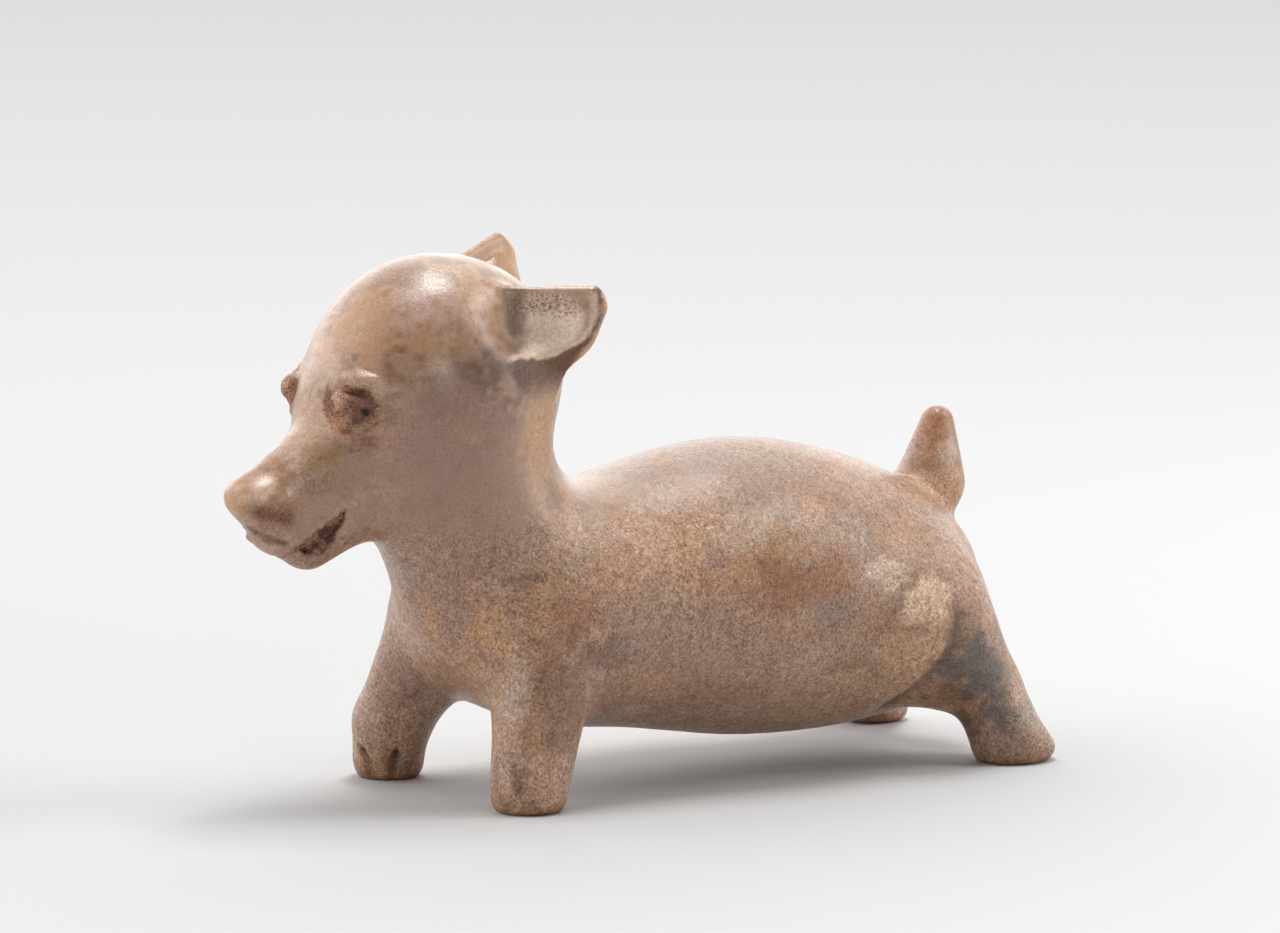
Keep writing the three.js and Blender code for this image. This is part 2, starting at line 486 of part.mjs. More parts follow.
    for (const v of around(e.a)) offer(e.a, v);
  }
  const map = new Map(), verts = [], tris = [];
  for (let t = 0; t < nt; t++)
    if (alive[t])
      for (let m = 0; m < 3; m++) {
        const v = T[3 * t + m];
        if (!map.has(v)) { map.set(v, map.size); verts.push(P[3 * v], P[3 * v + 1], P[3 * v + 2]); }
        tris.push(map.get(v));
      }
  return { P: Float64Array.from(verts), T: Uint32Array.from(tris) };
};

// ------------------------------------------------------------------ the solid
const wasm = await Module();
wasm.setup();

const solidOf = (geometry) => {
  const g = geometry.clone();
  g.deleteAttribute("normal");
  g.deleteAttribute("uv");
  const merged = mergeVertices(g, 1e-4);
  return new wasm.Manifold(
    new wasm.Mesh({ numProp: 3, vertProperties: merged.attributes.position.array, triVerts: new Uint32Array(merged.index.array) }),
  );
};
const geometryOf = (solid) => {
  const m = solid.getMesh();
  const g = new THREE.BufferGeometry()
    .setAttribute("position", new THREE.BufferAttribute(Float32Array.from(m.vertProperties), 3))
    .setIndex(new THREE.BufferAttribute(Uint32Array.from(m.triVerts), 1));
  g.computeVertexNormals();
  return g;
};

const found = surfaceOf(dog, [-76, -184, -8], [76, 190, 216], GRID);
settle(found.P, dog, 2);
const kept = thin(found.P, found.T, FACES);
settle(kept.P, dog, 2);
const skin = new THREE.BufferGeometry()
  .setAttribute("position", new THREE.BufferAttribute(Float32Array.from(kept.P), 3))
  .setIndex(new THREE.BufferAttribute(kept.T, 1));

// the feet are rubbed flat on the floor plane
const below = new THREE.BoxGeometry(400, 600, 40).translate(0, 0, -20);
const [body] = solidOf(skin)
  .subtract(solidOf(below))
  .decompose()
  .sort((a, b) => b.volume() - a.volume());

const figure = new THREE.Group();
const dogFigure = new THREE.Mesh(
  geometryOf(body),
  new THREE.MeshStandardMaterial({ color: 0xb0947f, roughness: 0.45, metalness: 0 }),
);
dogFigure.name = "dog_figure";
// the origin is on the floor, under the middle of the figure
const box = dogFigure.geometry.boundingBox ?? new THREE.Box3().setFromBufferAttribute(dogFigure.geometry.attributes.position);
dogFigure.position.set(-(box.min.x + box.max.x) / 2, -(box.min.y + box.max.y) / 2, -box.min.z);
figure.add(dogFigure);

export default figure;
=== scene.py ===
"""A standing dog modelled by hand in clay, burnished, fired and worn.

The figure is one piece, so one fine mesh stands for it. Its form is a field of rounded masses run
together as wet clay is, with the eyes, mouth, ear cups and toes pressed into it; the mesh is that
field's zero surface, with the hand's unevenness and the wear of the surface moved into it.
Sizes below are in millimetres in the modelling frame; SHIFT brings that frame onto the CAD part's.
"""
import math

import bpy
import numpy as np
from mathutils import Matrix, Vector


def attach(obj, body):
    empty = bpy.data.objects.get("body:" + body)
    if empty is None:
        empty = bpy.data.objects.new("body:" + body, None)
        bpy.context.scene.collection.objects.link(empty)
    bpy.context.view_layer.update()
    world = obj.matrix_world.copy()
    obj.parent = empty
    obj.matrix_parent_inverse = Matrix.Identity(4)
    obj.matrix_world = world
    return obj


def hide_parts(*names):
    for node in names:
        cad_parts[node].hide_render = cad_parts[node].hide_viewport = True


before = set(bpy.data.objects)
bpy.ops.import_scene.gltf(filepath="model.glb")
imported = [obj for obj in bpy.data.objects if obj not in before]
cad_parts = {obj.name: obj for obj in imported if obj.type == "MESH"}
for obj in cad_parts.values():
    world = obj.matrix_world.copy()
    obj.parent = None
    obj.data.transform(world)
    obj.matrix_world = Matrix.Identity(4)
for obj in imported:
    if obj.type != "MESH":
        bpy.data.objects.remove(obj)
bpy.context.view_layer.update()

SHIFT = np.array([2.2098, -6.17197, 0.0])  # puts the origin under the middle of the figure


# ---------------------------------------------------------------- signed-distance tools
def A(*v):
    return np.array(v if len(v) > 1 else v[0], float)


def length(v):
    return np.sqrt(np.einsum("...i,...i->...", v, v))


def smin(a, b, k):
    h = np.maximum(k - np.abs(a - b), 0) / k
    return np.minimum(a, b) - h * h * h * k / 6.0


def smax(a, b, k):
    return -smin(-a, -b, k)


def rot2(deg):
    c, s = math.cos(math.radians(deg)), math.sin(math.radians(deg))
    return A([[c, -s, 0], [s, c, 0], [0, 0, 1]])


def ellipsoid(p, c, r, R=None):
    q = p - A(c)
    if R is not None:
        q = q @ R
    r = A(r)
    k0 = length(q / r)
    k1 = length(q / (r * r))
    return k0 * (k0 - 1.0) / np.maximum(k1, 1e-9)


def cone(p, a, b, r1, r2):
    """a bar between two balls of different size, with straight sides that touch both"""
    a, b = A(a), A(b)
    ba = b - a
    l2 = ba @ ba
    rr = r1 - r2
    a2 = l2 - rr * rr
    il2 = 1.0 / l2
    pa = p - a
    y = pa @ ba
    z = y - l2
    q = pa * l2 - y[..., None] * ba
    x2 = np.einsum("...i,...i->...", q, q)
    y2 = y * y * l2
    z2 = z * z * l2
    k = np.sign(rr) * rr * rr * x2
    o = (np.sqrt(x2 * a2 * il2) + y * rr) * il2 - r1
    c1 = np.sign(z) * a2 * z2 > k
    c2 = np.sign(y) * a2 * y2 < k
    return np.where(c1, np.sqrt(x2 + z2) * il2 - r2, np.where(c2, np.sqrt(x2 + y2) * il2 - r1, o))


def chain(p, pts, k=0.0):
    """round-ended bars through the points (x, y, z, radius)"""
    d = None
    for a, b in zip(pts[:-1], pts[1:]):
        pa = p - A(a[:3])
        ba = A(b[:3]) - A(a[:3])
        h = np.clip(pa @ ba / (ba @ ba), 0, 1)
        e = length(pa - h[..., None] * ba) - (a[3] + (b[3] - a[3]) * h)
        d = e if d is None else (np.minimum(d, e) if not k else smin(d, e, k))
    return d


def smooth_line(pts, n=4):
    """a smooth run through the points, n steps to a span (Catmull-Rom)"""
    P = A([tuple(pts[0])] + [tuple(q) for q in pts] + [tuple(pts[-1])])
    out = []
    for i in range(1, len(P) - 2):
        for t in np.linspace(0, 1, n, endpoint=False):
            a, b, c, d = P[i - 1 : i + 3]
            out.append(0.5 * (2 * b + (c - a) * t + (2 * a - 5 * b + 4 * c - d) * t * t + (3 * b - a - 3 * c + d) * t**3))
    return [tuple(v) for v in out] + [tuple(P[-1])]


def press(d, off, deep, wide):
    """a groove pressed into (or, with deep < 0, a ridge raised on) the surface at distance off from its line"""
    return d + deep * np.exp(-((off / wide) ** 2))


def ease(a, b, x):
    t = np.clip((x - a) / (b - a), 0, 1)
    return t * t * (3 - 2 * t)


def groove(d, p, pts, deep, wide, ends=0.0):
    """a groove along a smooth line through the points, at full depth in its middle and fading to its ends"""
    run = A([tuple(c[:3]) for c in smooth_line(pts)])
    n = len(run) - 1
    best = np.full(p.shape[:-1], 1e9)
    at = np.zeros(p.shape[:-1])
    for i in range(n):
        pa, ba = p - run[i], run[i + 1] - run[i]
        h = np.clip(pa @ ba / (ba @ ba), 0, 1)
        q = pa - h[..., None] * ba
        e = np.einsum("...i,...i->...", q, q)
        m = e < best
        best = np.where(m, e, best)
        at = np.where(m, (i + h) / n, at)
    full = ends + (1 - ends) * ease(0, 0.4, np.minimum(at, 1 - at))
    return d + deep * full * np.exp(-best / wide**2)


# ---------------------------------------------------------------- the masses
BARREL = ((0, 50.5, 69.0), (58.6, 78.5, 55.1))
RUMP = ((0, 99.6, 61.5), (46.6, 62.9, 46.8))
CHEST = ((0, -20.5, 66.9), (51.4, 59.5, 43.8))
NECK = ((0, -53.5, 87.2), (0, -82.4, 139.8), 36.6, 33.8)
SKULL = ((0, -77.749, 156.38), (37.9, 49.721, 43.862))
FACE = ((0, -111.223, 147.558), (23.94, 21.384, 22.319))
SNOUT = ((0, -102.349, 136.274), (0, -155.428, 115.796), 23.457, 9.071)
CHEEKS = ((0, -104.0, 122.179), (0, -144.0, 111.586), 20.0, 11.6)
UPPER_LIP = ((0, -144.516, 107.526), (12.6, 12.719, 12.539))
NOSE = ((0, -155.041, 119.646), (9.0, 10.6, 6.469))
NOSE_BULB = ((1.8, -154.4, 116.7), (9.6, 10.8, 7.6))
SNOUT_FLAT = (38.0, -0.5)  # flattened slopes of the snout: degrees off its ridge, millimetres off its round
JAW = ((0, -96.811, 119.512), (0, -133.234, 99.444), 13.94, 10.313)
FRONT_LEFT = ((31.4, -50.0, 60.6), (41.1, -64.8, 7.1), 19.2, 14.0)
FRONT_RIGHT = ((-27.363, -57.368, 60.1, 19.034), (-46.835, -66.825, 21.938, 14.054), (-53.08, -64.539, 7.5, 13.477))
REAR_LEFT = ((31.465, 112.58, 57.0, 31.29), (40.675, 142.845, 27.515, 13.452), (51.239, 147.126, 8.0, 13.648))
REAR_RIGHT = ((-30.0, 122.0, 57.0, 26.0), (-46.0, 149.0, 26.0, 14.5), (-56.646, 164.975, 8.0, 10.874))
HEEL_LEFT = ((51.226, 150.689, 4.5), (12.233, 15.347, 7.212))
HEEL_RIGHT = ((-57.827, 163.647, 4.5), (11.5, 13.5, 5.623))
TAIL = ((0, 147.9, 101.0), (0, 151.0, 123.8), 13.2, 6.3)

# ears: root, then turn and lift of the ear's plane, then sizes in that plane
LEFT_EAR = dict(side=1, root=(28.282, -57.27, 168.866), turn=64, lift=-1.359, lobe=(13.101, 4.97), lobe_r=13.031,
                tip=(23.963, 12.564), tip_r=5.837, heel=-5.278, heel_r=17.081, rim=16.82)
RIGHT_EAR = dict(side=-1, root=(-26.115, -47.042, 176.262), turn=70, lift=15.933, lobe=(13.332, 1.787), lobe_r=12.185,
                 tip=(24.277, 11.323), tip_r=6.691, heel=-1.5, heel_r=14.5, rim=16.917)

# eye frame: centre, across, up, out of the face
EYE_C, EYE_U, EYE_V, EYE_N = A(18.9, -126.5, 149.8), A(0.756, 0.655, 0), A(-0.072, 0.083, 0.994), A(0.651, -0.751, 0.110)
RIGHT_EYE_RAISE = 2.4
LOWER_LID = [(-7.6, -0.6, -2.8, 1.6), (-6.0, -4.8, -2.2, 1.8), (-2.4, -7.2, -2.0, 2.0), (2.4, -8.0, -2.3, 2.0), (6.8, -7.0, -3.0, 1.6)]
# lines in the eye frame (across, up), then how deep (minus: raised), how wide and how much of it is left at the ends
EYE_LINES = [
    ([(-4.2, 9.0), (-1.8, 6.0), (1.2, 4.2), (4.4, 4.2), (8.2, 6.2)], 1.25, 1.3, 0.0),
    ([(-8.0, 8.0), (-9.1, 2.6), (-8.2, -1.2), (-6.3, -5.0), (-3.0, -9.6)], 0.8, 1.5, 0.0),
    ([(-6.6, 1.0), (-4.9, -1.4), (-1.9, -3.4), (2.2, -5.2), (5.6, -4.2), (8.4, -0.4)], 0.7, 1.0, 0.0),
    ([(-3.4, -9.9), (1.5, -10.2), (5.2, -9.4), (9.4, -6.8)], 0.8, 1.1, 0.1),
    ([(-1.4, -11.8), (3.0, -12.4), (8.0, -11.8), (12.6, -12.0)], 0.55, 0.8, 0.0),
    ([(1.4, -14.2), (5.4, -13.7), (9.6, -14.6)], 0.5, 0.7, 0.0),
    ([(-0.6, -15.6), (3.6, -16.3)], 0.4, 0.6, 0.0),
    ([(-2.0, -4.6), (2.4, -6.6), (6.2, -6.2)], -0.35, 0.9, 0.0),
    ([(1.0, 13.6), (7.0, 12.4), (13.0, 9.0)], 0.22, 0.6, 0.0),
    ([(4.6, 12.6), (10.0, 10.9)], 0.22, 0.5, 0.0),
    ([(-0.6, 1.6), (1.6, 2.2), (3.6, 1.4)], -0.35, 0.8, 0.0),
]
EYE_PIT = ((5.9, -2.5), 1.9, 0.95)

# marks pressed into the clay: x y z half-width
UNDER_NOSE = [(5.4, -163.0, 115.4), (7.9, -158.6, 112.3), (10.0, -154.0, 110.3), (12.6, -148.9, 109.5), (14.6, -143.4, 111.0)]
LIP_LINE = [(2.2, -158.9, 106.0), (3.9, -156.9, 104.4), (6.4, -155.1, 103.1), (8.9, -151.7, 101.7), (9.8, -148.5, 100.9)]
LIP_ROLL = [(1.6, -158.4, 103.4), (5.2, -155.2, 101.6), (8.4, -151.2, 100.2), (9.6, -147.6, 99.6)]
# the open corner of the mouth, seen from the side: a straight upper edge and a bowed lower one
MOUTH_AT, MOUTH_END, MOUTH_GAPE, MOUTH_DEEP = A(-112.6, 86.3), A(-94.8, 100.3), 6.0, 2.4
MOUTH_SIDE, MOUTH_RISE = A(0.5715, 0.8206, 0), A(-0.0987, 0.0688, 0.9928)
MOUTH_FRONT = [(0, -146.2, 94.4, 0.5), (3.2, -145.6, 94.9, 0.6), (6.7, -144.5, 96.1, 0.7), (8.9, -142.9, 97.7, 0.8)]
# toe slits: the line, how deep, how wide; each has a low rim of pushed-up clay
TOES = [
    ([(37.0, -77.3, 18.6), (39.6, -78.4, 13.0), (40.6, -78.6, 9.0)], 1.9, 1.3),
    ([(47.1, -75.9, 18.6), (49.0, -75.3, 14.6), (50.2, -75.0, 9.2)], 2.6, 1.1),
    ([(28.5, -70.2, 18.5), (28.2, -71.5, 12.5), (28.4, -71.5, 4.0)], 1.6, 1.3),
    ([(-49.7, -78.3, 21.0), (-48.2, -78.0, 13.7), (-47.3, -77.4, 6.8), (-47.3, -76.4, 1.0)], 2.2, 1.6),
    ([(-36.2, -71.9, 18.6), (-38.2, -70.9, 13.0), (-40.6, -70.4, 7.0), (-42.4, -70.2, 0.0)], 2.9, 1.7),
    ([(-61.0, -76.5, 19.0), (-61.5, -76.8, 12.0), (-61.0, -76.3, 4.0)], 1.6, 1.3),
    ([(-32.5, -66.5, 21.8), (-33.7, -64.8, 18.0)], 0.9, 0.7),
]
# low ridges: the fold above the left toes, and the burnished edge down that leg
FOLDS = [
    ([(40.6, -77.6, 21.6), (45.6, -75.8, 23.4), (51.0, -72.6, 22.0)], -0.6, 1.2),
    ([(45.6, -71.6, 53.0), (46.1, -72.4, 45.6), (47.0, -73.2, 38.0), (47.8, -73.8, 32.0)], -0.35, 0.9),
]
SHOULDER_NICK = [(35.6, -69.4, 84.3, 0.2), (38.7, -64.3, 84.8, 0.7), (41.8, -59.0, 84.6, 0.1)]
HIP_CREASE = [(24.0, 99.0, 18.0), (32.0, 101.4, 22.1), (38.1, 102.8, 25.4), (46.9, 105.6, 30.1), (55.7, 108.3, 38.5), (59.7, 111.7, 45.1), (62.2, 112.6, 52.9), (62.9, 114.0, 60.0)]


def ear_axes(ear):
    """along the ear, up the ear, and out of its cup"""
    a, r, s = math.radians(ear["turn"]), math.radians(ear["lift"]), ear["side"]
    u, v, w = A(s * math.cos(a), math.sin(a), 0), A(0, 0, 1), A(s * math.sin(a), -math.cos(a), 0)
    return u * math.cos(r) + v * math.sin(r), v * math.cos(r) - u * math.sin(r), w


# the crest of the left ear's lower lip, along and up the ear; below it the ear falls away behind the lip
LIP_CREST = [(-9.5, -5.2), (-4.0, -4.0), (2.0, -4.2), (8.0, -4.0), (13.0, -2.4), (17.5, 0.1), (21.0, 3.2), (23.4, 7.4), (24.4, 12.0), (24.2, 18.0)]


def past_crest(loc):
    """distance beyond the crest of the left ear's lower lip, less than nothing inside it"""
    knots = A(LIP_CREST)
    line = chain(loc * A(1, 1, 0), [(a, b, 0, 0) for a, b in smooth_line(LIP_CREST)])
    outside = (loc[..., 1] < np.interp(loc[..., 0], knots[:, 0], knots[:, 1])) | (loc[..., 0] > 24.3)
    return np.where(outside, line, -line)


def ear_parts(p, ear):
    q = p - A(ear["root"])
    loc = np.stack([q @ ax for ax in ear_axes(ear)], -1)
    flat = loc * A(1, 1, 1.35)
    m = (ear["lobe"][0], ear["lobe"][1], -4.0)
    tu, tv = ear["tip"]
    d = cone(flat, (-1, ear["heel"], -5.5), m, ear["heel_r"], ear["lobe_r"])
    d = smin(d, cone(flat, m, (tu, tv, -1.0), ear["lobe_r"], ear["tip_r"]), 4)
    d = smin(d, cone(flat, (-8, ear["rim"], -1.0), (tu, ear["rim"] + 0.2, -0.6), 3.2, 3.6), 5)
    u, v, w = loc[..., 0], loc[..., 1], loc[..., 2]
    front = 2.6
    if ear["side"] > 0:
        off = past_crest(loc)
        off = 0.5 * (off + np.sqrt(off * off + 1.2))
        front = 2.9 - np.minimum(off * np.interp(v, [-2, 16], [1.0, 0.30]), 9.0)
    d = smax(d * 0.86, (w - front) * 0.74, 2.0)
    if ear["side"] > 0:
        c, s = math.cos(math.radians(-15)), math.sin(math.radians(-15))
        a, b, e = u - 4.8, v - (ear["rim"] - 8.4), w - 10.2
        b, e = b * c + e * s, e * c - b * s
        k = (np.abs(a / 17.0) ** 2.3 + np.abs(b / 12.0) ** 2.3 + np.abs(e / 12.0) ** 2.3) ** (1 / 2.3)
        cup = (k - 1.0) * 10.0
    else:
        cup = ellipsoid(loc, (7.6, ear["rim"] - 8.6, 8.0), (11.5, 8.8, 9.5), rot2(9))
    return d, cup


def eye_frame(p):
    q = p - EYE_C
    return np.stack([q @ EYE_U, q @ EYE_V, q @ EYE_N], -1)


def eye_parts(loc, right=0):
    """ball, brow and lower lid; the right eye has a fuller ball under a flatter brow"""
    ball = ellipsoid(loc, (-0.2, -0.4 + 1.0 * right, -2.2 - 0.2 * right), (8.0, 6.0 + 0.8 * right, 6.6 + 0.5 * right), rot2(-14))
    brow = smin(ellipsoid(loc, (2.1, 8.45, -5.4), (9.0, 4.5, 7.0), rot2(-4)), ellipsoid(loc, (9.4, 6.4, -6.2), (4.6, 7.0, 5.2), rot2(28)), 3)
    brow = smin(brow, ellipsoid(loc, (-6.6, 6.8, -5.6), (3.4, 5.2, 4.6), rot2(-26)), 3) + 2.2 * right
    e = smin(brow, ball, 1.2)
    return smin(e, chain(loc, smooth_line(LOWER_LID), 0.8), 1.6)


def eye_marks(d, loc):
    flat = loc * A(1, 1, 0)
    front = 1.0 / (1.0 + np.exp(-(loc[..., 2] + 9.0) / 1.2))
    for line, deep, wide, ends in EYE_LINES:
        d = d + front * (groove(d, flat, [(*c, 0) for c in line], 1.3 * deep, wide, ends) - d)
    (a, b), deep, wide = EYE_PIT
    return d + front * (press(d, length(flat - A(a, b, 0)), deep, wide) - d)


def mouth_gap(p):
    """flat distance to the outline of the open corner of the mouth, and how far below its upper edge"""
    q = np.stack([p @ MOUTH_SIDE, p @ MOUTH_RISE], -1) - MOUTH_AT
    run = MOUTH_END - MOUTH_AT
    far = math.sqrt(run @ run)
    along, below = q @ run / far, q @ A(run[1], -run[0]) / far
    t = np.clip(along / far, 0, 1)
    gap = 0.8 * noise(p, 2.4, 171) + smax(-below - 0.5 * np.sin(np.pi * t), (below - MOUTH_GAPE * np.sin(np.pi * t**0.72) ** 1.3) * 0.72, 0.6)
    return np.maximum(gap, np.abs(along - far / 2) - far / 2), below


def mouth(p, d):
    """the open corner, deepest under the upper lip, and the parting that runs round the front"""
    gap, below = mouth_gap(p)
    floor = d + MOUTH_DEEP * np.clip(1.1 - below / MOUTH_GAPE, 0.15, 1.1)
    gap = smax(smax(gap, -floor, 1.6), 3.0 - p[..., 0], 1.0)
    return smin(gap, chain(p, smooth_line(MOUTH_FRONT)), 0.8)


def limb(p, run):
    d = None
    for a, b in zip(run[:-1], run[1:]):
        e = cone(p, a[:3], b[:3], a[3], b[3])
        d = e if d is None else smin(d, e, 6)
    return d


def part(d, p, mask, change):
    """applies change(d, p) only where the mask says the feature can reach"""
    if mask.any():
        d[mask] = change(d[mask], p[mask])
    return d


def near(p, c, r):
    q = p - A(c)
    return np.einsum("...i,...i->...", q, q) < r * r


def head(p):
    s = smin(cone(p, *SNOUT), ellipsoid(p, *UPPER_LIP), 8)
    s = smin(s, cone(p, *CHEEKS), 8)
    s = smin(s, ellipsoid(p, *NOSE), 6)
    x = np.abs(p[..., 0])
    half = np.stack([np.where(x > 2.6, x, x * x / 5.2 + 1.3), p[..., 1], p[..., 2]], -1)  # rounded over the bridge
    a, b, r1, r2 = A(SNOUT[0]), A(SNOUT[1]), SNOUT[2], SNOUT[3]
    run = b - a
    along = run / math.sqrt(run @ run)
    lean = (r1 - r2) / math.sqrt(run @ run)
    t = math.radians(SNOUT_FLAT[0])
    out = A(math.sin(t), math.cos(t) * along[2], -math.cos(t) * along[1])
    n = out * math.sqrt(1 - lean * lean) + along * lean
    s = smax(s, (half - b) @ n - r2 + SNOUT_FLAT[1], 7.0)
    s = smin(s, ellipsoid(half, *NOSE_BULB), 4)
    h = smin(ellipsoid(p, *SKULL), s, 22)
    h = smin(h, ellipsoid(p, *FACE), 12)
    h = smin(h, cone(p, *JAW), 9)

    def eyes(d, q):
        for side in (1, -1):
            loc = eye_frame(q * A(side, 1, 1) - A(0, 0, 0 if side > 0 else RIGHT_EYE_RAISE))
            d = eye_marks(smin(d, eye_parts(loc, int(side < 0)), 3.0), loc)
        return d

    h = part(h, p, near(p, (0, -126, 150), 48), eyes)
    h = smin(h, cone(p, *NECK), 24)
    for ear in (LEFT_EAR, RIGHT_EAR):

        def one(d, q, ear=ear):
            lobe, cup = ear_parts(q, ear)
            at = (q - A(ear["root"])) @ ear_axes(ear)[0]
            return smax(smin(d, lobe, 8), -cup, np.interp(at, [-9.0, 1.0], [10.0, 2.4]))

        h = part(h, p, near(p, ear["root"], 52), one)

    def lips(d, q):
        for side in (1, -1):
            r = q * A(side, 1, 1)
            d = groove(d, r, UNDER_NOSE, 0.75, 2.6, 0.1)
            d = smax(d, -mouth(r, d), 0.8)
            d = groove(groove(d, r, LIP_LINE, 2.3, 0.85, 0.05), r, LIP_ROLL, -0.8, 1.7, 0.0)
        return d

    return part(h, p, near(p, (0, -146, 106), 42), lips)


def dog(p):
    x, y, z = p[..., 0], p[..., 1], p[..., 2]
    d = smin(smin(ellipsoid(p, *BARREL), ellipsoid(p, *RUMP), 35), ellipsoid(p, *CHEST), 35)
    d = part(d, p, y < 36, lambda d, q: smin(d, head(q), 24))
    d = part(d, p, (y < 12) & (z < 104), lambda d, q: smin(smin(d, cone(q, *FRONT_LEFT), 24), limb(q, FRONT_RIGHT), 20))

    def hind(d, q):
        for run, heel in ((REAR_LEFT, HEEL_LEFT), (REAR_RIGHT, HEEL_RIGHT)):
            d = smin(d, smin(limb(q, run), ellipsoid(q, *heel), 10), 20)
        return d

    d = part(d, p, (y > 48) & (z < 112), hind)
    d = part(d, p, (y > 112) & (z > 68), lambda d, q: smin(d, cone(q, *TAIL), 14))

    def toes(d, q):
        for run, deep, wide in TOES:
            d = groove(groove(d, q, run, deep + 0.4, wide, 0.35), q, run, -0.4, wide * 2.0, 0.2)
        return d

    def folds(d, q):
        for run, deep, wide in FOLDS:
            d = groove(d, q, run, deep, wide)
        return d

    d = part(d, p, (y < -50) & (z < 32), toes)
    d = part(d, p, (y < -60) & (z < 64) & (x > 30), folds)
    d = part(d, p, near(p, (38.7, -64.3, 84.8), 18), lambda d, q: groove(d, q, SHOULDER_NICK, 0.8, 1.1))

    def hips(d, q):
        for side in (1, -1):
            r = q * A(side, 1, 1)
            d = groove(groove(d, r, HIP_CREASE, 2.0, 4.6), r, HIP_CREASE, 1.3, 1.8)
            d = groove(d, r - A(0, -8.5, 0.5), HIP_CREASE, -1.3, 5.5)
        return d

    d = part(d, p, (y > 80) & (y < 130) & (z < 70), hips)
    return smax(d, -(z + 0.6), 4.0)


# ---------------------------------------------------------------- mesh of the field
def spaced(stops):
    """grid lines from (start, spacing) stops to a last end, the spacing easing between stops"""
    out = [stops[0][0]]
    while out[-1] < stops[-1][0]:
        at = out[-1]
        h = np.interp(at, [s[0] for s in stops], [s[1] for s in stops])
        out.append(at + float(h))
    return np.array(out)


def grid_field(axes, B=8):
    n = [len(a) for a in axes]
    idx = [np.arange(0, m, B) for m in n]
    F = np.full(n, 9.0)
    ctr = [np.array([a[min(i + B // 2, m - 1)] for i in ix]) for a, ix, m in zip(axes, idx, n)]
    half = [np.array([max(a[min(i + B, m - 1)] - a[min(i + B // 2, m - 1)], a[min(i + B // 2, m - 1)] - a[i]) for i in ix]) for a, ix, m in zip(axes, idx, n)]
    f = dog(np.stack(np.meshgrid(*ctr, indexing="ij"), -1).reshape(-1, 3))
    reach = length(np.stack(np.meshgrid(*half, indexing="ij"), -1).reshape(-1, 3))
    act = np.abs(f) < reach * 1.12 + 3
    I = np.stack(np.meshgrid(*idx, indexing="ij"), -1).reshape(-1, 3)
    for (i, j, k), v in zip(I[~act], f[~act]):
        F[i : i + B, j : j + B, k : k + B] = v
    off = np.stack(np.meshgrid(*[np.arange(B)] * 3, indexing="ij"), -1).reshape(-1, 3)
    for s in range(0, int(act.sum()), 300):
        ii = (I[act][s : s + 300][:, None, :] + off[None]).reshape(-1, 3)
        ii = ii[(ii < np.array(n)).all(1)]
        F[ii[:, 0], ii[:, 1], ii[:, 2]] = dog(np.stack([axes[d][ii[:, d]] for d in range(3)], -1))
    return F


def surface_nets(F, axes):
    S = F < 0
    n = F.shape
    s = sum(S[a : n[0] - 1 + a, b : n[1] - 1 + b, d : n[2] - 1 + d].astype(np.int8) for a in (0, 1) for b in (0, 1) for d in (0, 1))
    act = (s > 0) & (s < 8)
    ci = np.argwhere(act)
    vid = np.full(act.shape, -1, np.int64)
    vid[act] = np.arange(len(ci))
    acc = np.zeros((len(ci), 3))
    cnt = np.zeros(len(ci))
    for p in [(a, b, d) for a in (0, 1) for b in (0, 1) for d in (0, 1)]:
        for ax in range(3):
            if p[ax]:
                continue
            q = list(p)
            q[ax] = 1
            i0, i1 = ci + np.array(p), ci + np.array(q)
            f0, f1 = F[tuple(i0.T)], F[tuple(i1.T)]
            m = (f0 < 0) != (f1 < 0)
            t = np.where(m, f0 / np.where(m, f0 - f1, 1), 0)
            P0 = np.stack([axes[d][i0[:, d]] for d in range(3)], -1)
            P1 = np.stack([axes[d][i1[:, d]] for d in range(3)], -1)
            acc += np.where(m[:, None], P0 + (P1 - P0) * t[:, None], 0)
            cnt += m
    quads = []
    for ax in range(3):
        b, c = [d for d in range(3) if d != ax]
        sl0 = [slice(1, n[d] - 1) for d in range(3)]
        sl1 = list(sl0)
        sl0[ax], sl1[ax] = slice(0, n[ax] - 1), slice(1, n[ax])
        s0, s1 = S[tuple(sl0)], S[tuple(sl1)]
        e = np.argwhere(s0 != s1)
        base = e.copy()
        base[:, b] += 1
        base[:, c] += 1
        inside = s0[tuple(e.T)]

        def v(db, dc):
            q = base.copy()
            q[:, b] -= db
            q[:, c] -= dc
            return vid[tuple(q.T)]

        q = np.stack([v(1, 1), v(0, 1), v(0, 0), v(1, 0)], -1)
        flip = inside if ax != 1 else ~inside
        quads.append(np.where(flip[:, None], q, q[:, ::-1]))
    return acc / cnt[:, None], np.concatenate(quads)


def slope(P, e=0.15):
    g = [dog(P + np.eye(3)[i] * e) - dog(P - np.eye(3)[i] * e) for i in range(3)]
    return np.stack(g, -1) / (2 * e)


def settle(P):
    f, g = dog(P), slope(P)
    d = (f / np.maximum((g * g).sum(-1), 0.05))[:, None] * g
    L = length(d)[:, None]
    return P - d * np.minimum(1, 0.8 / np.maximum(L, 1e-9))


# ---------------------------------------------------------------- noise for the hand's unevenness and the wear
def lattice(i, seed):
    """repeatable pseudo-random value in -1..1 for whole-number lattice points"""
    h = (i[..., 0] * 374761393 + i[..., 1] * 668265263 + i[..., 2] * 2147483647 + seed * 1274126177) & 0xFFFFFFFF
    h = ((h ^ (h >> 13)) * 1274126177) & 0xFFFFFFFF
    h = ((h ^ (h >> 16)) * 2246822519) & 0xFFFFFFFF
    return ((h ^ (h >> 15)) & 0xFFFFFF) / float(0x7FFFFF) - 1.0


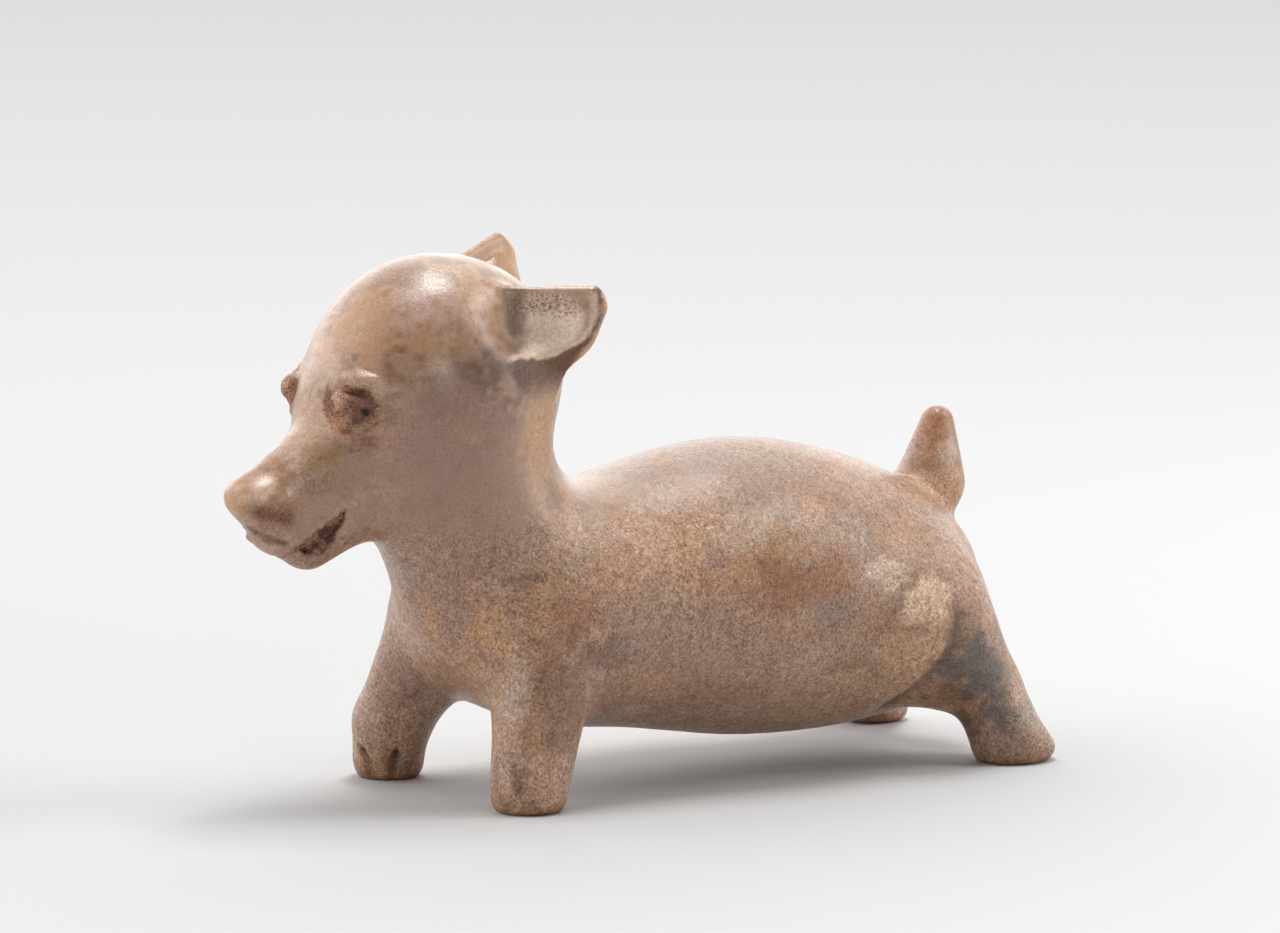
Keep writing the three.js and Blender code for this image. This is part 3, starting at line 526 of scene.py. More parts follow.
def noise(P, size, seed=0):
    q = P / size
    i = np.floor(q).astype(np.int64)
    f = q - i
    f = f * f * f * (f * (f * 6 - 15) + 10)
    out = 0.0
    for a in (0, 1):
        for b in (0, 1):
            for c in (0, 1):
                w = (f[..., 0] if a else 1 - f[..., 0]) * (f[..., 1] if b else 1 - f[..., 1]) * (f[..., 2] if c else 1 - f[..., 2])
                out = out + w * lattice(i + np.array([a, b, c]), seed)
    return out


def fractal(P, size, seed=0, octaves=3):
    out, amp, tot = 0.0, 1.0, 0.0
    for o in range(octaves):
        out = out + amp * noise(P + 17.3 * o, size / 2**o, seed + o)
        tot += amp
        amp *= 0.55
    return out / tot * 1.7


def step(a, b, x):
    t = np.clip((x - a) / (b - a), 0, 1)
    return t * t * (3 - 2 * t)


AXES = [
    spaced([(-71.5, 1.79), (-32, 1.46), (-26, 1.12), (26, 1.12), (32, 1.40), (68, 1.68)]),
    spaced([(-168.0, 0.95), (-100, 0.95), (-60, 1.23), (-20, 2.02), (60, 2.58), (140, 2.24), (181, 2.02)]),
    spaced([(-1.9, 1.23), (24, 1.46), (40, 2.24), (84, 2.13), (98, 1.12), (165, 1.01), (205, 1.23)]),
]
V, Q = surface_nets(grid_field(AXES), AXES)
for _ in range(2):
    V = settle(V)
NRM = slope(V)
NRM /= np.maximum(length(NRM), 1e-9)[:, None]

# ---------------------------------------------------------------- where things are on the figure
x, y, z = V[:, 0], V[:, 1], V[:, 2]
ON_EAR_CUP = np.zeros(len(V))
for ear in (LEFT_EAR, RIGHT_EAR):
    lobe, cup = ear_parts(V, ear)
    w = (V - A(ear["root"])) @ ear_axes(ear)[2]
    ON_EAR_CUP = np.maximum(ON_EAR_CUP, step(1.6, -0.2, cup) * near(V, ear["root"], 46) * step(0.1, 0.6, NRM @ ear_axes(ear)[2] + 0.35))
EYE_NEAR = np.zeros(len(V))
EYE_BALL = np.zeros(len(V))
for side in (1, -1):
    loc = eye_frame(V * A(side, 1, 1) - A(0, 0, 0 if side > 0 else RIGHT_EYE_RAISE))
    EYE_NEAR = np.maximum(EYE_NEAR, step(1.35, 0.8, length(loc / A(12.5, 12.0, 12.0))))
    EYE_BALL = np.maximum(EYE_BALL, step(1.25, 0.85, length((loc - A(-0.4, -0.6, 0)) / A(9.8, 7.4, 9.0))))
MOUTH_NEAR = np.zeros(len(V))
for side in (1, -1):
    MOUTH_NEAR = np.maximum(MOUTH_NEAR, step(1.3, -0.3, mouth_gap(V * A(side, 1, 1))[0]) * near(V, (12 * side, -134, 101), 19))
TOE_NEAR = np.zeros(len(V))
for run, deep, wide in TOES:
    TOE_NEAR = np.maximum(TOE_NEAR, step(2.6, 0.6, chain(V, [(*c, 0) for c in run])))

# ---------------------------------------------------------------- relief moved into the mesh
N_BROAD = fractal(V, 34.0, 3, 2)
N_HAND = fractal(V, 13.0, 11, 2)
N_FINE = fractal(V, 5.0, 23, 2)
N_GRIT = noise(V, 2.1, 31)
rough_zone = np.clip(0.30 + 0.9 * EYE_BALL + 0.8 * ON_EAR_CUP + 0.7 * MOUTH_NEAR + 0.5 * TOE_NEAR + 0.35 * step(22, 4, z), 0, 1.2)
relief = 0.16 * N_BROAD + 0.07 * N_HAND + 0.05 * N_FINE * rough_zone + 0.07 * N_GRIT * rough_zone
relief *= step(-0.2, 2.0, z)
V = V + NRM * relief[:, None]
V[:, 2] = np.maximum(V[:, 2], 0.0)

FIG = V + SHIFT


# ---------------------------------------------------------------- colour of the fired slip, point by point
def rgb(r, g, b):
    c = A(r, g, b) / 255.0
    return np.where(c <= 0.04045, c / 12.92, ((c + 0.055) / 1.055) ** 2.4)


P = V
n_a, n_b, n_c, n_d, n_e = fractal(P, 46, 101), fractal(P, 24, 111), fractal(P, 11, 121), fractal(P, 5.5, 131, 2), noise(P, 2.6, 151)
COL = np.tile(rgb(163, 131, 109), (len(P), 1))
ROUGH = np.full(len(P), 0.40)


def lay(mask, colour, strength=1.0):
    global COL
    m = np.clip(mask * strength, 0, 1)[:, None]
    COL = COL * (1 - m) + rgb(*colour) * m


def cloud(c, r, edge=0.45, ragged=0.85):
    """soft ragged patch round a place on the surface"""
    q = (P - A(c)) / A(r)
    return step(1 + edge, 1 - edge, length(q) + ragged * (n_b * 0.35 + n_c * 0.45 + n_d * 0.45 + n_e * 0.4))


def grime_and_shade_line(line, wide):
    """a dark mark along a line of points, for grime and painted shade held in a groove"""
    return np.exp(-((chain(P, [(*c[:3], 0) for c in smooth_line([c[:3] for c in line])]) / wide) ** 2))


lay(step(-0.2, 0.9, n_a), (153, 119, 97), 0.6)
lay(step(0.1, 0.8, -n_b), (172, 143, 123), 0.5)
lay(step(0.2, 0.9, n_c), (148, 113, 89), 0.35)
lay(step(0.35, 0.9, -n_c), (178, 150, 131), 0.3)

n_f = fractal(P, 15, 161)
body = step(150, 118, P[:, 2]) * step(-100, -70, P[:, 1])
lay(body * step(0.12, 0.5, n_f), (182, 141, 106), 0.5)
lay(body * step(0.12, 0.5, 0.3 * n_d - n_f), (170, 150, 137), 0.45)
lay(body * step(0.2, 0.6, n_d + 0.5 * n_e), (138, 104, 80), 0.35)
skull = 1 - body
lay(skull * step(0.10, 0.55, n_f + 0.3 * n_d), (180, 139, 106), 0.40)
lay(skull * step(0.15, 0.6, 0.5 * n_d + 0.4 * n_e - n_f), (166, 140, 126), 0.35)
lay(skull * step(0.35, 0.8, n_e + 0.6 * n_d), (124, 88, 66), 0.40)

# where the slip fired or wore to another colour, with some painted highlights, a painted sheen and painted shade among
# them: place, reach, colour, strength
CLOUDS = [
    # dome of the head
    ((1, -94, 196), (30, 34, 14), (146, 115, 93), 0.85),
    ((-22, -80, 186), (22, 34, 22), (168, 134, 110), 0.7),
    ((26, -76, 189), (15, 17, 12), (188, 155, 126), 0.75),
    ((10, -118, 178), (20, 14, 16), (186, 144, 110), 0.8),
    ((-14, -116, 176), (16, 14, 16), (178, 140, 112), 0.6),
    ((24, -98, 183), (12, 15, 11), (178, 149, 136), 0.7),
    ((33, -100, 169), (9, 13, 9), (164, 130, 99), 0.8),
    ((29, -112, 160), (8, 10, 8), (160, 128, 108), 0.6),
    ((3, -130, 162), (7, 7, 11), (192, 162, 142), 0.7),
    # side of the head and neck, a cooler brown; painted shade under the ear, painted light along the nape and a painted
    # sheen on the front of the neck
    ((37, -93, 150), (14, 26, 22), (128, 97, 80), 0.85),
    ((-37, -93, 150), (14, 26, 22), (134, 102, 84), 0.7),
    # painted shade under the left ear, where it overhangs the head and neck
    ((38, -75, 161), (9, 14, 9), (98, 70, 54), 0.9),
    ((38, -66, 156), (8, 8, 8), (108, 80, 62), 0.8),
    ((31, -106, 131), (15, 24, 17), (146, 113, 98), 0.8),
    ((-31, -106, 131), (15, 24, 17), (146, 114, 98), 0.7),
    ((16, -114, 106), (16, 15, 9), (162, 131, 115), 0.7),
    ((20, -98, 98), (22, 20, 24), (152, 119, 103), 0.7),
    ((35, -86, 122), (13, 18, 26), (145, 112, 96), 0.75),
    # ochre down the back of the neck, lightened in part as painted light from the right
    ((30, -52, 138), (13, 12, 28), (186, 148, 114), 0.8),
    ((-28, -50, 138), (14, 14, 28), (176, 140, 110), 0.6),
    ((35, -70, 104), (13, 13, 15), (156, 124, 104), 0.6),
    # painted sheen: a pale grey patch on the front of the neck stands for light from the left
    ((-2, -90, 92), (16, 12, 18), (172, 148, 132), 0.5),
    # snout
    ((8, -133, 144), (12, 12, 10), (190, 158, 135), 0.8),
    ((4, -144, 133), (9, 10, 8), (196, 168, 147), 0.8),
    ((18, -128, 126), (7, 14, 11), (144, 111, 90), 0.8),
    ((13, -136, 131), (4, 9, 5), (160, 128, 92), 0.6),
    ((15, -141, 111), (7, 10, 8), (151, 119, 101), 0.7),
    ((0, -165, 119), (9, 5, 7), (180, 134, 96), 0.8),
    # painted highlight on the nose, over a paler, greyer slip
    ((9, -156, 121), (7, 8, 6), (214, 184, 164), 0.8),
    # brown under the nose: dirt, and painted shade in the hollow beneath the nose
    ((11, -153, 113.5), (7, 9, 3.0), (150, 106, 72), 0.8),
    ((7, -138, 93), (9, 9, 5), (148, 116, 98), 0.7),
    # eyes
    ((20, -129, 149), (9, 8, 8), (158, 116, 92), 0.8),
    # painted shade on the right side of the left eyeball
    ((25, -126, 151), (5, 6, 5), (112, 80, 63), 0.8),
    ((-19, -131, 152), (9, 8, 8), (158, 118, 95), 0.8),
    ((23, -122, 136), (9, 9, 4), (140, 101, 83), 0.7),
    # ears from behind
    ((-25, -33, 196), (15, 17, 17), (172, 128, 90), 0.85),
    # chest and left shoulder
    ((15, -86, 76), (18, 10, 14), (150, 118, 102), 0.7),
    ((30, -77, 63), (9, 9, 8), (178, 138, 98), 0.8),
    ((9, -85, 66), (4, 7, 9), (178, 136, 96), 0.6),
    ((-18, -80, 57), (14, 12, 14), (172, 140, 119), 0.6),
    ((51, -48, 71), (10, 14, 10), (138, 98, 72), 0.85),
    ((48, -55, 84), (12, 13, 8), (150, 118, 96), 0.6),
    ((54, -36, 74), (8, 9, 8), (150, 110, 82), 0.5),
    # pale slip at the shoulder, partly a painted highlight
    ((35, -43, 101), (10, 10, 9), (188, 158, 138), 0.6),
    ((52, -32, 67), (7, 10, 9), (156, 130, 112), 0.7),
    ((52, -38, 56), (7, 11, 6), (120, 88, 70), 0.8),
    # legs in front
    ((50, -64, 55), (9, 9, 9), (152, 112, 86), 0.7),
    # pale down the burnished edge of the leg, partly a painted highlight
    ((44, -73, 42), (6, 6, 15), (168, 145, 128), 0.75),
    ((54, -58, 40), (7, 10, 19), (134, 99, 76), 0.8),
    ((54, -62, 12), (10, 12, 8), (186, 150, 130), 0.75),
    ((-28, -76, 38), (12, 10, 13), (134, 102, 86), 0.75),
    ((-42, -78, 22), (12, 9, 12), (158, 127, 108), 0.6),
    # back and flank, from the shoulder to the tail
    ((13, -3, 113), (26, 22, 12), (164, 137, 119), 0.8),
    ((10, 42, 121), (42, 38, 12), (146, 120, 102), 0.85),
    ((32, 42, 113), (12, 34, 8), (158, 130, 112), 0.7),
    ((28, 92, 108), (24, 18, 12), (168, 138, 115), 0.7),
    ((-28, 60, 108), (24, 60, 22), (152, 122, 100), 0.6),
    ((41, -14, 96), (13, 16, 10), (180, 146, 121), 0.7),
    ((46, 6, 92), (10, 14, 8), (184, 147, 118), 0.6),
    ((50, 24, 94), (9, 12, 8), (184, 158, 138), 0.7),
    ((51, 14, 80), (10, 34, 8), (172, 133, 102), 0.8),
    ((55, 38, 74), (9, 12, 10), (142, 98, 70), 0.85),
    ((58, 58, 77), (8, 13, 9), (150, 106, 74), 0.9),
    ((56, 46, 92), (7, 9, 6), (166, 128, 98), 0.6),
    ((58, 59, 62), (8, 14, 7), (142, 117, 104), 0.85),
    ((52, -14, 72), (9, 10, 11), (162, 135, 118), 0.7),
    ((52, 2, 58), (10, 26, 12), (154, 126, 110), 0.75),
    ((56, 30, 54), (9, 20, 10), (164, 130, 109), 0.6),
    # painted highlight on a facet of the rump
    ((57, 87, 77), (6, 9, 6), (200, 174, 154), 0.8),
    ((59, 94, 61), (5, 10, 6), (150, 110, 80), 0.8),
    ((57, 80, 56), (6, 10, 6), (148, 112, 88), 0.7),
    ((57, 97, 47), (9, 14, 10), (184, 142, 106), 0.65),
    ((44, 84, 33), (14, 20, 9), (178, 148, 124), 0.7),
    ((46, 40, 38), (14, 26, 9), (172, 140, 120), 0.6),
    ((42, 14, 33), (13, 20, 9), (156, 119, 101), 0.7),
    ((40, -12, 38), (12, 12, 9), (166, 134, 115), 0.5),
    ((26, 20, 22), (22, 40, 7), (166, 134, 116), 0.7),
    ((30, 84, 21), (14, 14, 6), (186, 152, 130), 0.6),
    # rump and left hind leg: ochre creases, a charcoal cloud, painted highlights on the rump facet and in a pale streak
    # down to the foot
    ((38, 124, 90), (18, 16, 14), (164, 132, 107), 0.7),
    ((52, 120, 80), (10, 12, 10), (176, 146, 125), 0.6),
    # painted highlight on the rump facet
    ((61, 103, 66), (6, 10, 8), (224, 196, 172), 0.85),
    ((56, 134, 62), (10, 10, 16), (184, 152, 132), 0.7),
    ((59, 103, 46), (6, 7, 11), (186, 150, 120), 0.75),
    ((60, 121, 42), (9, 10, 15), (88, 76, 70), 0.95),
    ((62, 116, 56), (7, 7, 9), (150, 112, 84), 0.6),
    ((53, 118, 26), (9, 8, 8), (112, 86, 64), 0.85),
    ((60, 133, 30), (7, 10, 13), (92, 82, 77), 0.9),
    ((61, 140, 18), (6, 7, 10), (100, 88, 80), 0.85),
    # painted highlight down the back of the leg towards the foot
    ((57, 147, 24), (8, 6, 14), (164, 143, 127), 0.6),
    ((44, 132, 15), (8, 8, 9), (98, 72, 54), 0.8),
    ((60, 140, 7), (12, 13, 6), (142, 112, 94), 0.7),
    ((-56, 126, 42), (12, 14, 18), (128, 104, 88), 0.6),
    ((-56, 60, 66), (14, 40, 18), (158, 122, 94), 0.6),
    ((-50, -46, 70), (14, 16, 16), (146, 108, 84), 0.6),
    # tail
    ((3, 145, 122), (9, 6, 12), (162, 112, 78), 0.85),
    ((10, 150, 112), (4, 7, 8), (184, 158, 140), 0.75),
    ((8, 140, 108), (7, 4, 4), (142, 98, 74), 0.7),
    ((11, 138, 101), (7, 7, 5), (186, 154, 130), 0.7),
    ((12, 149, 98), (6, 6, 6), (180, 132, 92), 0.7),
    ((-8, 150, 108), (7, 8, 16), (166, 124, 92), 0.6),
]
for place, reach, colour, strength in CLOUDS:
    lay(cloud(place, reach), colour, strength)
grey = (COL @ A(0.3, 0.55, 0.15))[:, None]
COL = 1.03 * (grey + 1.04 * (COL - grey))

# the left ear: grey grime with painted shade under the upper rim, a pale floor partly lightened as painted light, a
# painted highlight along the crest, a dark band of painted shade and dirt under the crest, a pale strip behind partly
# painted light
loc = np.stack([(P - A(LEFT_EAR["root"])) @ ax for ax in ear_axes(LEFT_EAR)], -1)
on_ear = near(P, A(LEFT_EAR["root"]) + A(12, 14, 4), 30) * step(-10, -4, loc[:, 0])
beyond = past_crest(loc) + 0.7 * n_d
in_cup = step(1.6, -0.2, ear_parts(P, LEFT_EAR)[1]) * on_ear
loc_left = loc
# the pale floor of the cup: a pinkish slip, lightened further as painted light
lay(in_cup * step(-8, 1, loc[:, 0] + 2.0 * n_d), (238, 214, 196), 0.95)
lay(on_ear * step(2, -4, loc[:, 0] + 2.0 * n_d) * step(-7, -3, loc[:, 1]), (122, 92, 74), 0.75)
lay(on_ear * step(-3, -9, loc[:, 0] + 2.0 * n_d) * step(3, 8, loc[:, 1]) * step(-2, 0, in_cup), (122, 96, 80), 0.5)
# the upper cup darker: grime, and painted shade under the overhanging rim
lay(in_cup * step(7.5, 14.0, loc[:, 1] + 2.5 * n_d + 1.5 * n_e), (142, 114, 98), 0.5)
# painted shade with dirt: the dark band on the ear's underside below the crest, which faces down away from the light
underside_shade_band = on_ear * step(0.3, 1.4, beyond) * step(20.0, 7.0, beyond) * step(26, 20, loc[:, 0] + 0.5 * beyond)
speck = on_ear * step(0.6, 1.6, beyond) * step(5.0, 2.6, beyond) * step(16, 20, loc[:, 0])
lay(underside_shade_band, (100, 66, 48), 0.92)
lay(on_ear * step(0.6, 1.6, beyond) * step(5.0, 2.6, beyond) * step(18, 22, loc[:, 0]) * step(-1.0, 0.0, n_e), (96, 68, 54), 0.92)
# the pale strip behind: ochre slip, lightened as painted light on the edge that faces the right
lay(on_ear * step(3.2, 5.2, beyond) * step(20, 25, loc[:, 0] + 0.5 * beyond), (200, 162, 130), 0.85)
# painted highlight along the crest
lay(on_ear * step(1.6, 0.2, np.abs(beyond)), (216, 190, 170), 0.85)
loc = np.stack([(P - A(RIGHT_EAR["root"])) @ ax for ax in ear_axes(RIGHT_EAR)], -1)
lay(step(1.4, 0.0, ear_parts(P, RIGHT_EAR)[1]) * near(P, RIGHT_EAR["root"], 40), (172, 144, 126), 0.8)

# grime held in the marks, with painted shade in the grooves, slits and hollows and painted light on the eyes
lay(MOUTH_NEAR, (150, 112, 90), 0.8)
lay(MOUTH_NEAR * step(-0.2, 0.4, n_e + 0.3 * n_d), (84, 46, 30), 0.9)
lay(TOE_NEAR, (128, 90, 66), 0.6)
around_eye = np.zeros(len(P))
for side in (1, -1):
    R = A(side, 1, 1)
    # the lip line, the hollow under the nose and the parting round the mouth: grime with painted shade
    for line, wide, colour, strength in (
        (LIP_LINE, 1.1, (84, 48, 32), 1.0),
        (UNDER_NOSE[1:4], 2.6, (118, 74, 48), 0.9),
        (MOUTH_FRONT, 0.8, (112, 82, 64), 0.5),
    ):
        lay(grime_and_shade_line([tuple(A(c[:3]) * R) for c in line], wide), colour, strength)
    loc = eye_frame(P * R - A(0, 0, 0 if side > 0 else RIGHT_EYE_RAISE)) * A(1, 1, 0)
    close = near(P, (20 * side, -127, 147), 22)
    # painted shade on the right side of the eyeball, turned from the light
    lay(EYE_BALL * close * step(-1.5, 3.5, loc[:, 0] + 1.5 * n_e) * step(8, 4, loc[:, 1]), (104, 66, 46), 0.8 if side > 0 else 0.4)
    around_eye += close * step(16, 9, length(loc - A(1, -3, 0)) + 2.5 * n_d)
    lay(close * step(3.0, 1.2, chain(loc, [(-8.6, 1.0, 0, 0), (-6.6, -5.0, 0, 0), (-2.4, -9.6, 0, 0)]) + 1.0 * n_e), (170, 112, 80), 0.6)
    # painted light: a pale spot on the left of the eyeball where its top catches the light
    lay(close * step(3.6, 1.6, length((loc - A(-4.6, 0.8, 0)) * A(1, 0.8, 1))), (198, 158, 136), 0.6)
    lay(close * step(13, 8, length(loc)) * step(0.15, 0.6, n_e), (128, 80, 56), 0.5)
    # painted shade filling the pit of the pupil
    lay(close * step(2.0, 0.8, length(loc - A(5.9, -2.5, 0))), (40, 20, 12), 1.0)
    for line, deep, wide, ends in EYE_LINES[:7]:
        d = chain(loc, [(*c, 0, 0) for c in line])
        lay(close * np.exp(-((d / (wide * 0.8)) ** 2)) * step(-0.7, 0.4, n_e), (104, 62, 42), 0.75)
    # painted highlight: a pale arc along the top of the brow
    lay(close * step(4.2, 2.0, chain(loc, [(-5.6, 7.4, 0, 0), (0.6, 9.6, 0, 0), (6.4, 9.0, 0, 0), (10.4, 5.6, 0, 0)]) + 1.2 * n_e), (192, 158, 134), 0.55)
# dark lines in the hip crease, the shoulder nick and the toe slits: grime with painted shade
lay(grime_and_shade_line(HIP_CREASE[1:], 2.2), (84, 64, 50), 0.8)
lay(grime_and_shade_line(SHOULDER_NICK, 1.1), (104, 76, 60), 0.75)
for run, deep, wide in (TOES[1], TOES[3], TOES[4]):
    lay(grime_and_shade_line(run, wide * 0.8), (84, 58, 42), 0.8)
# darker towards the bottom of the feet, darkest at the soles
lay(step(9, 0, z) * step(-0.5, 0.6, n_c), (116, 84, 64), 0.55)
lay(step(2.2, 0.3, z), (104, 76, 58), 0.6)

on_head = step(20, -20, y) * step(92, 118, z - 0.25 * np.clip(y + 60, 0, 80))
RAW_AT = 0.10 + 0.05 * (1 - on_head) + 0.15 * ON_EAR_CUP + 0.5 * underside_shade_band + 0.8 * speck + 0.75 * in_cup * step(7, 13, loc_left[:, 1]) + 0.6 * EYE_BALL + 0.75 * MOUTH_NEAR + 0.4 * TOE_NEAR + 0.25 * step(20, 3, z)
RAW_AT = RAW_AT + 0.40 * around_eye + 0.55 * grime_and_shade_line(UNDER_NOSE[1:4], 2.8) + 0.45 * cloud((11, -153, 113.5), (7, 9, 3.5))
RAW_AT = RAW_AT + 0.35 * cloud((15, -141, 125), (6, 10, 6)) + 0.25 * cloud((7, -138, 93), (9, 9, 5))
RAW_AT = np.clip(RAW_AT, 0, 1)
GRAIN_AT = np.clip(1.0 - 0.80 * on_head - 0.45 * step(96, 116, z) * (1 - on_head) + 0.25 * n_b, 0.12, 1.1)
ROUGH = 0.40 - 0.07 * on_head + 0.06 * GRAIN_AT + 0.05 * n_b
for place, reach, drop in (
    ((24, -98, 186), (20, 22, 16), 0.15), ((8, -153, 121), (9, 9, 7), 0.15), ((20, -124, 161), (9, 8, 6), 0.13), ((57, 88, 76), (8, 12, 9), 0.12),
    ((36, -42, 101), (9, 12, 10), 0.10), ((58, 146, 30), (8, 10, 20), 0.10), ((44, -73, 40), (6, 5, 18), 0.08), ((42, -38, 180), (6, 6, 7), 0.10),
):
    ROUGH = ROUGH - drop * cloud(place, reach)

# ---------------------------------------------------------------- the object
me = bpy.data.meshes.new("dog_clay")
me.from_pydata((FIG / 1000.0).tolist(), [], Q.tolist())
me.update()
me.polygons.foreach_set("use_smooth", [True] * len(me.polygons))
layer = me.color_attributes.new("slip", "FLOAT_COLOR", "POINT")
layer.data.foreach_set("color", np.concatenate([COL, ROUGH[:, None]], 1).astype(np.float32).ravel())
layer = me.color_attributes.new("worn", "FLOAT_COLOR", "POINT")
layer.data.foreach_set("color", np.stack([RAW_AT, GRAIN_AT, RAW_AT * 0, RAW_AT * 0 + 1], 1).astype(np.float32).ravel())
clay = bpy.data.objects.new("dog_clay", me)
bpy.context.scene.collection.objects.link(clay)
print("dog_clay", len(V), "points", len(Q), "quads")

def math_node(tree, op, a, b=None, c=None, clamp=False):
    n = tree.nodes.new("ShaderNodeMath")
    n.operation, n.use_clamp = op, clamp
    for socket, v in zip(n.inputs, (a, b, c)):
        if v is None:
            continue
        if isinstance(v, (int, float)):
            socket.default_value = v
        else:
            tree.links.new(v, socket)
    return n.outputs[0]


mat = bpy.data.materials.new("burnished_clay")
mat.use_nodes = True
nt = mat.node_tree
bsdf = nt.nodes["Principled BSDF"]


def node(kind, **values):
    n = nt.nodes.new(kind)
    for k, v in values.items():
        if k in n.inputs:
            n.inputs[k].default_value = v
        else:
            setattr(n, k, v)
    return n


def wire(a, b):
    nt.links.new(a, b)


def grain(scale, detail=2.0, rough=0.5, distort=0.0):
    n = node("ShaderNodeTexNoise", Scale=scale, Detail=detail, Roughness=rough, Distortion=distort)
    wire(where.outputs["Object"], n.inputs["Vector"])
    return n.outputs["Fac"]


def ramp(value, a, b, lo, hi, soft=True):
    n = node("ShaderNodeMapRange")
    n.interpolation_type = "SMOOTHSTEP" if soft else "LINEAR"
    for k, v in (("From Min", a), ("From Max", b), ("To Min", lo), ("To Max", hi)):
        n.inputs[k].default_value = v
    wire(value, n.inputs["Value"])
    return n.outputs["Result"]


def tint(base, colour, factor, how="MIX"):
    """base colour changed towards, or multiplied by, a colour as far as the factor says"""
    n = nt.nodes.new("ShaderNodeMix")
    n.data_type, n.blend_type = "RGBA", how
    wire(base, n.inputs[6])
    n.inputs[7].default_value = (*[float(v) for v in (rgb(*colour) if how == "MIX" else colour)], 1)
    wire(factor, n.inputs[0])
    return n.outputs[2]


where = nt.nodes.new("ShaderNodeTexCoord")
slip = node("ShaderNodeAttribute", attribute_name="slip")
worn = node("ShaderNodeAttribute", attribute_name="worn")  # red: raw and gritty, green: grainy
worn_split = nt.nodes.new("ShaderNodeSeparateColor")
wire(worn.outputs["Color"], worn_split.inputs[0])
RAW, GRAINY = worn_split.outputs[0], worn_split.outputs[1]

fine = grain(1000.0, 3.0, 0.65, 0.6)
crumb = grain(620.0, 3.0, 0.6, 1.4)
mid = grain(300.0, 3.0, 0.6, 0.5)
blot = grain(120.0, 3.0, 0.6, 0.4)
colour = slip.outputs["Color"]
calm = ramp(GRAINY, 0.2, 0.9, 0.35, 1.0)
colour = tint(colour, (0.60, 0.53, 0.48), math_node(nt, "MULTIPLY", ramp(fine, 0.51, 0.65, 0.0, 1.0), calm), "MULTIPLY")
colour = tint(colour, (1.24, 1.23, 1.22), math_node(nt, "MULTIPLY", ramp(fine, 0.49, 0.35, 0.0, 1.0), calm), "MULTIPLY")
colour = tint(colour, (0.68, 0.55, 0.43), math_node(nt, "MULTIPLY", ramp(crumb, 0.51, 0.64, 0.0, 1.0), GRAINY), "MULTIPLY")
colour = tint(colour, (1.34, 1.34, 1.31), math_node(nt, "MULTIPLY", ramp(crumb, 0.49, 0.36, 0.0, 1.0), GRAINY), "MULTIPLY")
colour = tint(colour, (0.86, 0.77, 0.66), math_node(nt, "MULTIPLY", ramp(mid, 0.50, 0.68, 0.0, 1.0), GRAINY), "MULTIPLY")
colour = tint(colour, (1.08, 1.12, 1.17), math_node(nt, "MULTIPLY", ramp(mid, 0.48, 0.30, 0.0, 1.0), GRAINY), "MULTIPLY")
colour = tint(colour, (0.93, 0.90, 0.87), ramp(blot, 0.50, 0.72, 0.0, 1.0), "MULTIPLY")
colour = tint(colour, (1.04, 1.06, 1.08), ramp(blot, 0.48, 0.30, 0.0, 1.0), "MULTIPLY")

# small dark pits, some larger than others, and the grime of the raw places
dots = node("ShaderNodeTexVoronoi", Scale=125.0)
wire(where.outputs["Object"], dots.inputs["Vector"])
size = node("ShaderNodeSeparateColor")
wire(dots.outputs["Color"], size.inputs[0])
pit_r = ramp(size.outputs[0], 0.55, 1.0, 0.0, 0.075, False)
pit = math_node(nt, "SUBTRACT", pit_r, dots.outputs["Distance"])
pit = ramp(pit, 0.0, 0.035, 0.0, 1.0)
colour = tint(colour, (84, 62, 50), math_node(nt, "MULTIPLY", pit, 0.8))
grit = grain(1050.0, 2.0, 0.7, 0.8)
raw_dark = math_node(nt, "MULTIPLY", ramp(grit, 0.51, 0.60, 0.0, 0.95), RAW)
colour = tint(colour, (0.30, 0.20, 0.15), raw_dark, "MULTIPLY")
raw_pale = math_node(nt, "MULTIPLY", ramp(grit, 0.48, 0.38, 0.0, 0.7), RAW)
colour = tint(colour, (1.35, 1.28, 1.22), raw_pale, "MULTIPLY")
wire(colour, bsdf.inputs["Base Color"])

rough = math_node(nt, "ADD", slip.outputs["Alpha"], ramp(crumb, 0.35, 0.70, -0.07, 0.14, False))
rough = math_node(nt, "ADD", rough, math_node(nt, "MULTIPLY", RAW, 0.25))
rough = math_node(nt, "ADD", rough, math_node(nt, "MULTIPLY", pit, 0.3), clamp=True)
wire(rough, bsdf.inputs["Roughness"])
wire(math_node(nt, "SUBTRACT", 0.52, math_node(nt, "MULTIPLY", RAW, 0.62), clamp=True), bsdf.inputs["Coat Weight"])
bsdf.inputs["Coat Roughness"].default_value = 0.22
bsdf.inputs["Specular IOR Level"].default_value = 0.5

height = math_node(nt, "MULTIPLY", fine, 0.30)
height = math_node(nt, "ADD", height, math_node(nt, "MULTIPLY", mid, 0.45))
height = math_node(nt, "ADD", height, math_node(nt, "MULTIPLY", math_node(nt, "MULTIPLY", crumb, GRAINY), -1.3))
height = math_node(nt, "ADD", height, math_node(nt, "MULTIPLY", math_node(nt, "MULTIPLY", grit, RAW), 1.6))
height = math_node(nt, "SUBTRACT", height, math_node(nt, "MULTIPLY", pit, 1.2))
bump = node("ShaderNodeBump", Strength=0.75, Distance=0.0004)
wire(height, bump.inputs["Height"])
wire(bump.outputs["Normal"], bsdf.inputs["Normal"])
soft = node("ShaderNodeBump", Strength=0.35, Distance=0.00035)
wire(height, soft.inputs["Height"])
wire(soft.outputs["Normal"], bsdf.inputs["Coat Normal"])
me.materials.append(mat)

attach(clay, "root")
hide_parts("dog_figure")

# ---------------------------------------------------------------- floor, light, camera
ALBEDO, FAR_FILL = 0.55, 0.44  # the floor's paint, and how far the studio's light is evened out away from the figure


